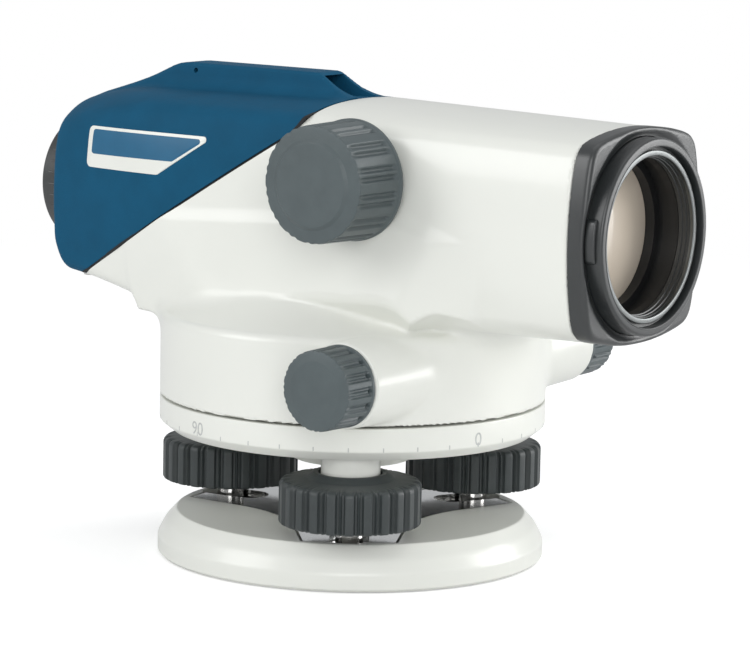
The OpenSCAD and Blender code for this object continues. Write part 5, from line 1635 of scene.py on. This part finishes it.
@dataclass
class FineControl:
    """Fine motion knob on one side of the drum."""

    side: Side
    node: str
    at: Point = (36.4, 59.9)
    inner: float = 54.6
    outer: float = 66.7
    radius: float = 11.2
    face_r: float = 8.2
    shaft_r: float = 3.05
    pairs: int = 16

    def groove(self, r: float, out: float) -> float:
        """Gives the groove depth, opening at the bevel's edge and closed by the rear rim.

        Args:
            r: Radius of the place.
            out: Its distance from the middle plane.

        Returns:
            The depth at that place.
        """
        if r < self.face_r + 1.0:
            return 0.0
        bevel = step_up(r, self.radius - 1.0, self.radius - 0.15) if out > self.outer - 0.9 else 1.0
        along = step_up(out, self.outer - 0.5, self.outer - 3.0)
        return (0.2 + 0.45 * along) * bevel * step_up(out, self.inner + 1.25, self.inner + 1.5)

    def notch(self, r: float, out: float) -> float:
        """Gives the depth of the pit where a pair of grooves meets the rear rim.

        Args:
            r: Radius of the place.
            out: Its distance from the middle plane.

        Returns:
            The depth at that place.
        """
        if r < self.face_r + 1.0:
            return 0.0
        return 1.7 * step_up(out, self.inner + 1.2, self.inner + 1.4) * step_up(
            out, self.inner + 3.4, self.inner + 1.7)

    def build(self) -> None:
        """Builds the knob."""
        sign = self.side.value
        side_r = self.radius + 0.12
        corners = [
            (0.0, self.outer + 0.25, 0.0), (self.face_r, self.outer + 0.25, 1.2),
            (self.radius - 0.1, self.outer - 0.3, 0.35), (self.radius, self.outer - 1.6, 0.4),
            (side_r, self.inner + 3.3, 0.0), (side_r, self.inner + 2.4, 0.0),
            (side_r, self.inner + 1.55, 0.0), (side_r, self.inner + 1.2, 0.0),
            (side_r + 0.12, self.inner + 1.0, 0.08),
            (side_r + 0.15, self.inner, 0.25), (self.shaft_r, self.inner, 0.0),
            (self.shaft_r, self.outer - 4.0, 0.0), (0.0, self.outer - 4.0, 0.0)]
        found = [(r, sign * h, d, n) for r, h, d, n in stations(corners, self.groove, 6, 0.7, self.notch)]
        grip = GripProfile(found, self.pairs, self.radius, spread=0.82, groove_w=0.88, groove_edge=0.26,
                           samples=36, notch_w=1.15)
        knob = grip.build(self.node + "_grip", GREY_GRIP, Axis.ACROSS, (self.at[0], 0.0, self.at[1]))
        fit(knob, "fine_drive", GREY_GRIP, [self.node])


@dataclass
class FootControl:
    """Grip of one levelling foot screw."""

    number: int
    bearing: float = -53.9
    circle_r: float = 41.8
    low_z: float = 17.0
    top_z: float = 29.2
    radius: float = 20.1
    dish_r: float = 12.6
    hub_r: float = 10.4
    hub_z: float = 31.6
    recess_r: float = 9.1
    recess_z: float = 20.4
    spindle_r: float = 4.02
    pairs: int = 24
    depth: float = 0.85

    def groove(self, r: float, z: float) -> float:
        """Returns the groove depth, open at the top edge."""
        return self.depth * step_up(r, self.radius - 4.2, self.radius - 1.7)

    def build(self) -> None:
        """Builds the grip round its spindle."""
        angle = math.radians(self.bearing + 120.0 * (self.number - 1))
        place = (self.circle_r * math.cos(angle), self.circle_r * math.sin(angle), 0.0)
        corners = [
            (self.spindle_r, self.low_z, 0.0), (self.radius, self.low_z, 0.7),
            (self.radius, self.top_z, 1.7), (self.dish_r, self.top_z + 0.7, 1.5),
            (self.hub_r, self.hub_z, 0.5), (self.recess_r, self.hub_z, 0.3),
            (self.recess_r, self.recess_z, 0.0), (self.spindle_r, self.recess_z, 0.0)]
        grip = GripProfile(stations(corners, self.groove, 5, 1.6), self.pairs, self.radius, spread=0.78,
                           groove_w=1.0, groove_edge=0.24, samples=22, closed=True)
        knob = grip.build(f"foot_grip_{self.number}", DARK_GRIP, Axis.PLUMB, place,
                          self.bearing + 360.0 / self.pairs / 2.0)
        fit(knob, f"foot_screw_{self.number}", DARK_GRIP, [f"foot_knob_{self.number}"])
        dress([f"foot_spindle_{self.number}"], STEEL)


@dataclass
class Footing:
    """Base plate with its spring plate, and the levelling head above."""

    feet: Sequence[int] = (1, 2, 3)

    def build(self) -> None:
        """Builds the grips and finishes the solids of the foot."""
        for number in self.feet:
            FootControl(number).build()
        dress(["base_plate", "levelling_head"], WHITE_PAINT)
        dress(["spring_plate"], SPRING_STEEL)
        dress(["spring_plate_screws", "clutch_washer"], STEEL)
        dress(["foot_nuts", "axis_bush", "worm_wheel"], BRASS)


def flat_figures(body: str, height: float) -> tuple[Array, list[list[int]]]:
    """Makes thin upright figures, centred on X and standing on Y zero.

    Args:
        body: The digits.
        height: How tall they are.

    Returns:
        Their points and faces.
    """
    curve = bpy.data.curves.new("figures", "FONT")
    curve.body, curve.align_x, curve.extrude = body, "CENTER", 0.05
    stand_in = bpy.data.objects.new("figures", curve)
    bpy.context.scene.collection.objects.link(stand_in)
    graph = bpy.context.evaluated_depsgraph_get()
    mesh = bpy.data.meshes.new_from_object(stand_in.evaluated_get(graph), depsgraph=graph)
    work = bmesh.new()
    work.from_mesh(mesh)
    bmesh.ops.remove_doubles(work, verts=work.verts, dist=1e-5)
    points = np.array([spot.co[:] for spot in work.verts])
    faces = [[spot.index for spot in face.verts] for face in work.faces]
    work.free()
    bpy.data.objects.remove(stand_in)
    bpy.data.meshes.remove(mesh)
    foot, head = points[:, 1].min(), points[:, 1].max()
    points[:, 1] -= foot
    return points * height / (head - foot), faces


@dataclass
class DividedCircle:
    """Horizontal circle under the drum, with its marks and figures."""

    radius: float = 56.2
    low_r: float = 52.6
    low_z: float = 36.8
    cone_z: float = 39.6
    top_z: float = 46.3
    hub_r: float = 30.05
    inner_r: float = 50.8
    web_z: float = 43.2
    mark_w: float = 0.3
    mark_h: float = 1.2
    figure_h: float = 3.7
    figure_z: float = 40.0
    zero_bearing: float = -14.6
    print_t: float = 0.04
    print_sink: float = 0.2
    marks: int = 36
    quarters: Sequence[int] = (0, 90, 180, 270)

    def build(self) -> None:
        """Builds the ring, its marks and its figures."""
        ring = turned("circle_ring", rounded([
            (self.inner_r, self.low_z, 0.0), (self.low_r, self.low_z, 0.5), (self.radius, self.cone_z, 0.9),
            (self.radius, self.top_z, 0.35), (self.hub_r, self.top_z, 0.0), (self.hub_r, self.web_z, 0.0),
            (self.inner_r, self.web_z, 0.0)], 5), segments=240)
        fit(ring, "circle", WHITE_PAINT, ["horizontal_circle"])
        self.build_marks()
        for degrees in self.quarters:
            self.build_figure(degrees)

    def build_marks(self) -> None:
        """Prints a mark every ten degrees just above the lower edge."""
        out, back = self.radius + self.print_t, self.radius - self.print_sink
        low, high, half = self.cone_z + 0.1, self.cone_z + 0.1 + self.mark_h, self.mark_w / 2.0
        mark = block("circle_mark", (back, -half, low), (out, half, high))
        marks = RoundAxis.repeat("circle_marks", mark, self.marks, DIAL_GREY, first=self.zero_bearing)
        fit(marks, "circle", DIAL_GREY)

    def build_figure(self, degrees: int) -> None:
        """Prints one figure on the rim, the degrees counted clockwise from zero.

        Args:
            degrees: Number that is printed, and its place from zero.
        """
        spots, faces = flat_figures(str(degrees), self.figure_h)
        bearing = math.radians(self.zero_bearing - degrees)
        turn = bearing + spots[:, 0] / self.radius
        reach = np.where(spots[:, 2] > 0.0, self.radius + self.print_t, self.radius - self.print_sink)
        points = np.column_stack((reach * np.cos(turn), reach * np.sin(turn), self.figure_z + spots[:, 1]))
        figure = make_object(f"circle_figure_{degrees}", points, faces)
        tidy_normals(figure)
        fit(figure, "circle", DIAL_GREY)


@dataclass
class ObjectiveEnd:
    """Bezel, ring and lens at the front of the telescope."""

    axis_z: float = 101.7
    rear_x: float = 92.02
    front_x: float = 97.8
    half: float = 29.9
    bulge_r: float = 90.0
    trim_r: float = 37.2
    edge: float = 1.5
    dish: float = 1.3
    bore_r: float = 24.7
    ring_r: float = 27.3
    ring_front_x: float = 101.6
    aperture_r: float = 21.6
    groove_r: Point = (23.9, 24.9)
    tab_r: float = 28.5
    tab_z: float = 102.7
    tab_half: float = 6.1
    tab_x: Point = (96.6, 99.8)
    cell_x: float = 95.8
    lens_x: float = 85.0
    lens_r: float = 22.4
    lens_dome: float = 2.2
    lens_t: float = 5.4
    bezel_box: Box = ((90.6, -33.0, 68.0), (99.0, 33.0, 135.4))
    bezel_step: float = 0.7
    tab_step: float = 0.4

    def bezel(self, x: Array, y: Array, z: Array) -> Array:
        """Gives the field of the rounded square bezel.

        Args:
            x: Places along the sight line.
            y: Places across it.
            z: Heights.

        Returns:
            The field at those places.
        """
        rise = z - self.axis_z
        centre = self.bulge_r - self.half
        side = np.hypot(np.abs(y) + centre, rise) - self.bulge_r
        top = np.hypot(np.abs(rise) + centre, y) - self.bulge_r
        shape = soft_max(soft_max(side, top, 2.5), np.hypot(y, rise) - self.trim_r, 3.0)
        dish = self.dish * (1.0 - ramp(np.hypot(y, rise), self.ring_r + 0.2, self.ring_r + 3.4))
        return round_max(round_max(shape, x - self.front_x + dish, self.edge), self.rear_x - x, 0.3)

    def build(self) -> None:
        """Builds the bezel, the ring and the front lens, and finishes the parts behind."""
        at = (0.0, 0.0, self.axis_z)
        bezel = FieldSolid(*self.bezel_box, self.bezel_step).build("bezel_shell", self.bezel)
        carve(bezel, [
            rod("bezel_bore", Axis.SIGHT, at, (80.0, 110.0), self.bore_r),
            rod("ring_seat", Axis.SIGHT, at, (self.front_x - 3.0, self.front_x + 2.0), self.ring_r + 0.3)])
        field_normals(bezel, self.bezel)
        fit(bezel, "alidade", BLACK_TRIM, ["objective_bezel"])
        self.build_ring(at)
        self.build_lens(at)
        dress(["objective_cell", "lens_retainer"], BLACK_METAL)
        # The flint lens takes the same opaque beige, with painted reflection and through-light.
        dress(["objective_flint_lens"], GLASS_PAINTED_REFLECTION)

    def tab(self, x: Array, y: Array, z: Array) -> Array:
        """Gives the field of the thumb tab on the ring's near side.

        Args:
            x: Places along the sight line.
            y: Places across it.
            z: Heights.

        Returns:
            The field at those places.
        """
        reach = np.hypot(y, z - self.axis_z)
        shape = round_max(reach - self.tab_r, np.abs(z - self.tab_z) - self.tab_half, 1.2)
        low, high = self.tab_x
        shape = round_max(shape, np.abs(x - (low + high) / 2.0) - (high - low) / 2.0, 0.6)
        return np.maximum(np.maximum(shape, self.ring_r - 0.6 - reach), y)

    def build_ring(self, at: Sequence[float]) -> None:
        """Builds the black front ring, the lip inside it, lighter in part as a painted highlight of its lit
        chamfer, and the thumb tab.

        Args:
            at: A point of the sight line.
        """
        seat_x, front, rear = self.front_x - 1.3, self.ring_front_x, self.front_x - 4.0
        (lip_r, wall_r), throat = self.groove_r, self.aperture_r
        ring = turned("front_ring", rounded([
            (self.bore_r - 0.1, rear, 0.0), (self.bore_r - 0.1, seat_x - 1.5, 0.0),
            (self.ring_r, seat_x - 1.5, 0.0), (self.ring_r, front, 0.9), (wall_r + 0.5, front, 0.1),
            (wall_r + 0.3, front + 0.16, 0.1), (wall_r + 0.1, front, 0.0), (wall_r, front - 0.4, 0.1),
            (wall_r, front - 2.6, 0.2), (throat + 0.5, front - 2.6, 0.0), (throat + 0.5, front - 3.4, 0.0),
            (throat + 0.25, front - 3.5, 0.0), (throat + 0.25, front - 4.6, 0.0), (throat, front - 4.7, 0.0),
            (throat, self.cell_x, 0.0), (lip_r + 0.2, self.cell_x, 0.0), (lip_r + 0.2, rear, 0.0)], 5),
            Axis.SIGHT, at, 192)
        fit(ring, "alidade", BLACK_TRIM, ["objective_ring"])
        # The lip's lighter metal is partly a painted highlight of its front-facing chamfer.
        lip = turned("ring_lip", rounded([
            (lip_r, front - 2.65, 0.0), (lip_r, front - 1.3, 0.35), (throat + 0.7, front - 1.3, 0.35),
            (throat + 0.7, front - 2.65, 0.0)], 5), Axis.SIGHT, at, 192)
        fit(lip, "alidade", LIP_METAL_PAINTED_HIGHLIGHT)
        low, high = (self.tab_x[0] - 0.8, -30.0, 94.0), (self.tab_x[1] + 0.8, -22.0, 112.0)
        tab = FieldSolid(low, high, self.tab_step).build("ring_tab", self.tab)
        field_normals(tab, self.tab)
        fit(tab, "alidade", BLACK_TRIM)

    def build_lens(self, at: Sequence[float]) -> None:
        """Builds the front lens with a smooth domed face, in opaque beige that paints the light reflected
        from and seen through the glass.

        Args:
            at: A point of the sight line.
        """
        steps = [k / 24.0 for k in range(25)]
        dome = [(self.lens_r * k, self.lens_x + self.lens_dome * (1.0 - k * k)) for k in steps]
        lens = turned("front_lens", dome + [(self.lens_r, self.lens_x - self.lens_t),
                                            (0.0, self.lens_x - self.lens_t)], Axis.SIGHT, at)
        fit(lens, "alidade", GLASS_PAINTED_REFLECTION, ["objective_crown_lens"])


@dataclass
class InnerWorks:
    """Solids inside the housing, and those outside that keep their shape."""

    finishes: dict[str, tuple[Finish, tuple[str, ...]]] = field(default_factory=lambda: {
        "trim": (BLACK_TRIM, ("drum_cover", "eyepiece_ring")),
        "rubber": (SOFT_BLACK, ("eyecup", "hood_seal")),
        "black": (BLACK_METAL, ("focus_guide", "compensator_frame", "eyepiece_sleeve", "ocular_cell",
                                "focus_carriage")),
        "alloy": (LIGHT_ALLOY, ("pendulum",)),
        "steel": (STEEL, ("drum_cover_screws", "axis_spindle", "spindle_screws", "level_screws",
                          "hood_screws", "worm_shaft", "focus_shaft", "suspension_tapes",
                          "damper_magnets")),
        "brass": (BRASS, ("focus_bush", "worm_bushes", "focus_rack", "reticle_cell")),
        "glass": (CLEAR_GLASS, ("fixed_prisms", "reticle_plate", "level_vial", "level_prism", "focus_lens",
                                "pendulum_prism", "ocular_lenses")),
        "paint": (WHITE_PAINT, ("level_cell", "prism_holder"))})

    def build(self) -> None:
        """Finishes every solid that stays."""
        for finish, nodes in self.finishes.values():
            dress(nodes, finish)


def main() -> None:
    """Builds the studio and every sub-assembly in order."""
    logging.basicConfig(level=logging.INFO, format="%(name)s: %(message)s")
    Studio().build()
    Telescope().build()
    ObjectiveEnd().build()
    FocusControl().build()
    FineControl(Side.NEAR, "fine_knob_right").build()
    FineControl(Side.FAR, "fine_knob_left").build()
    DividedCircle().build()
    Footing().build()
    InnerWorks().build()


if __name__ == "__main__":
    main()
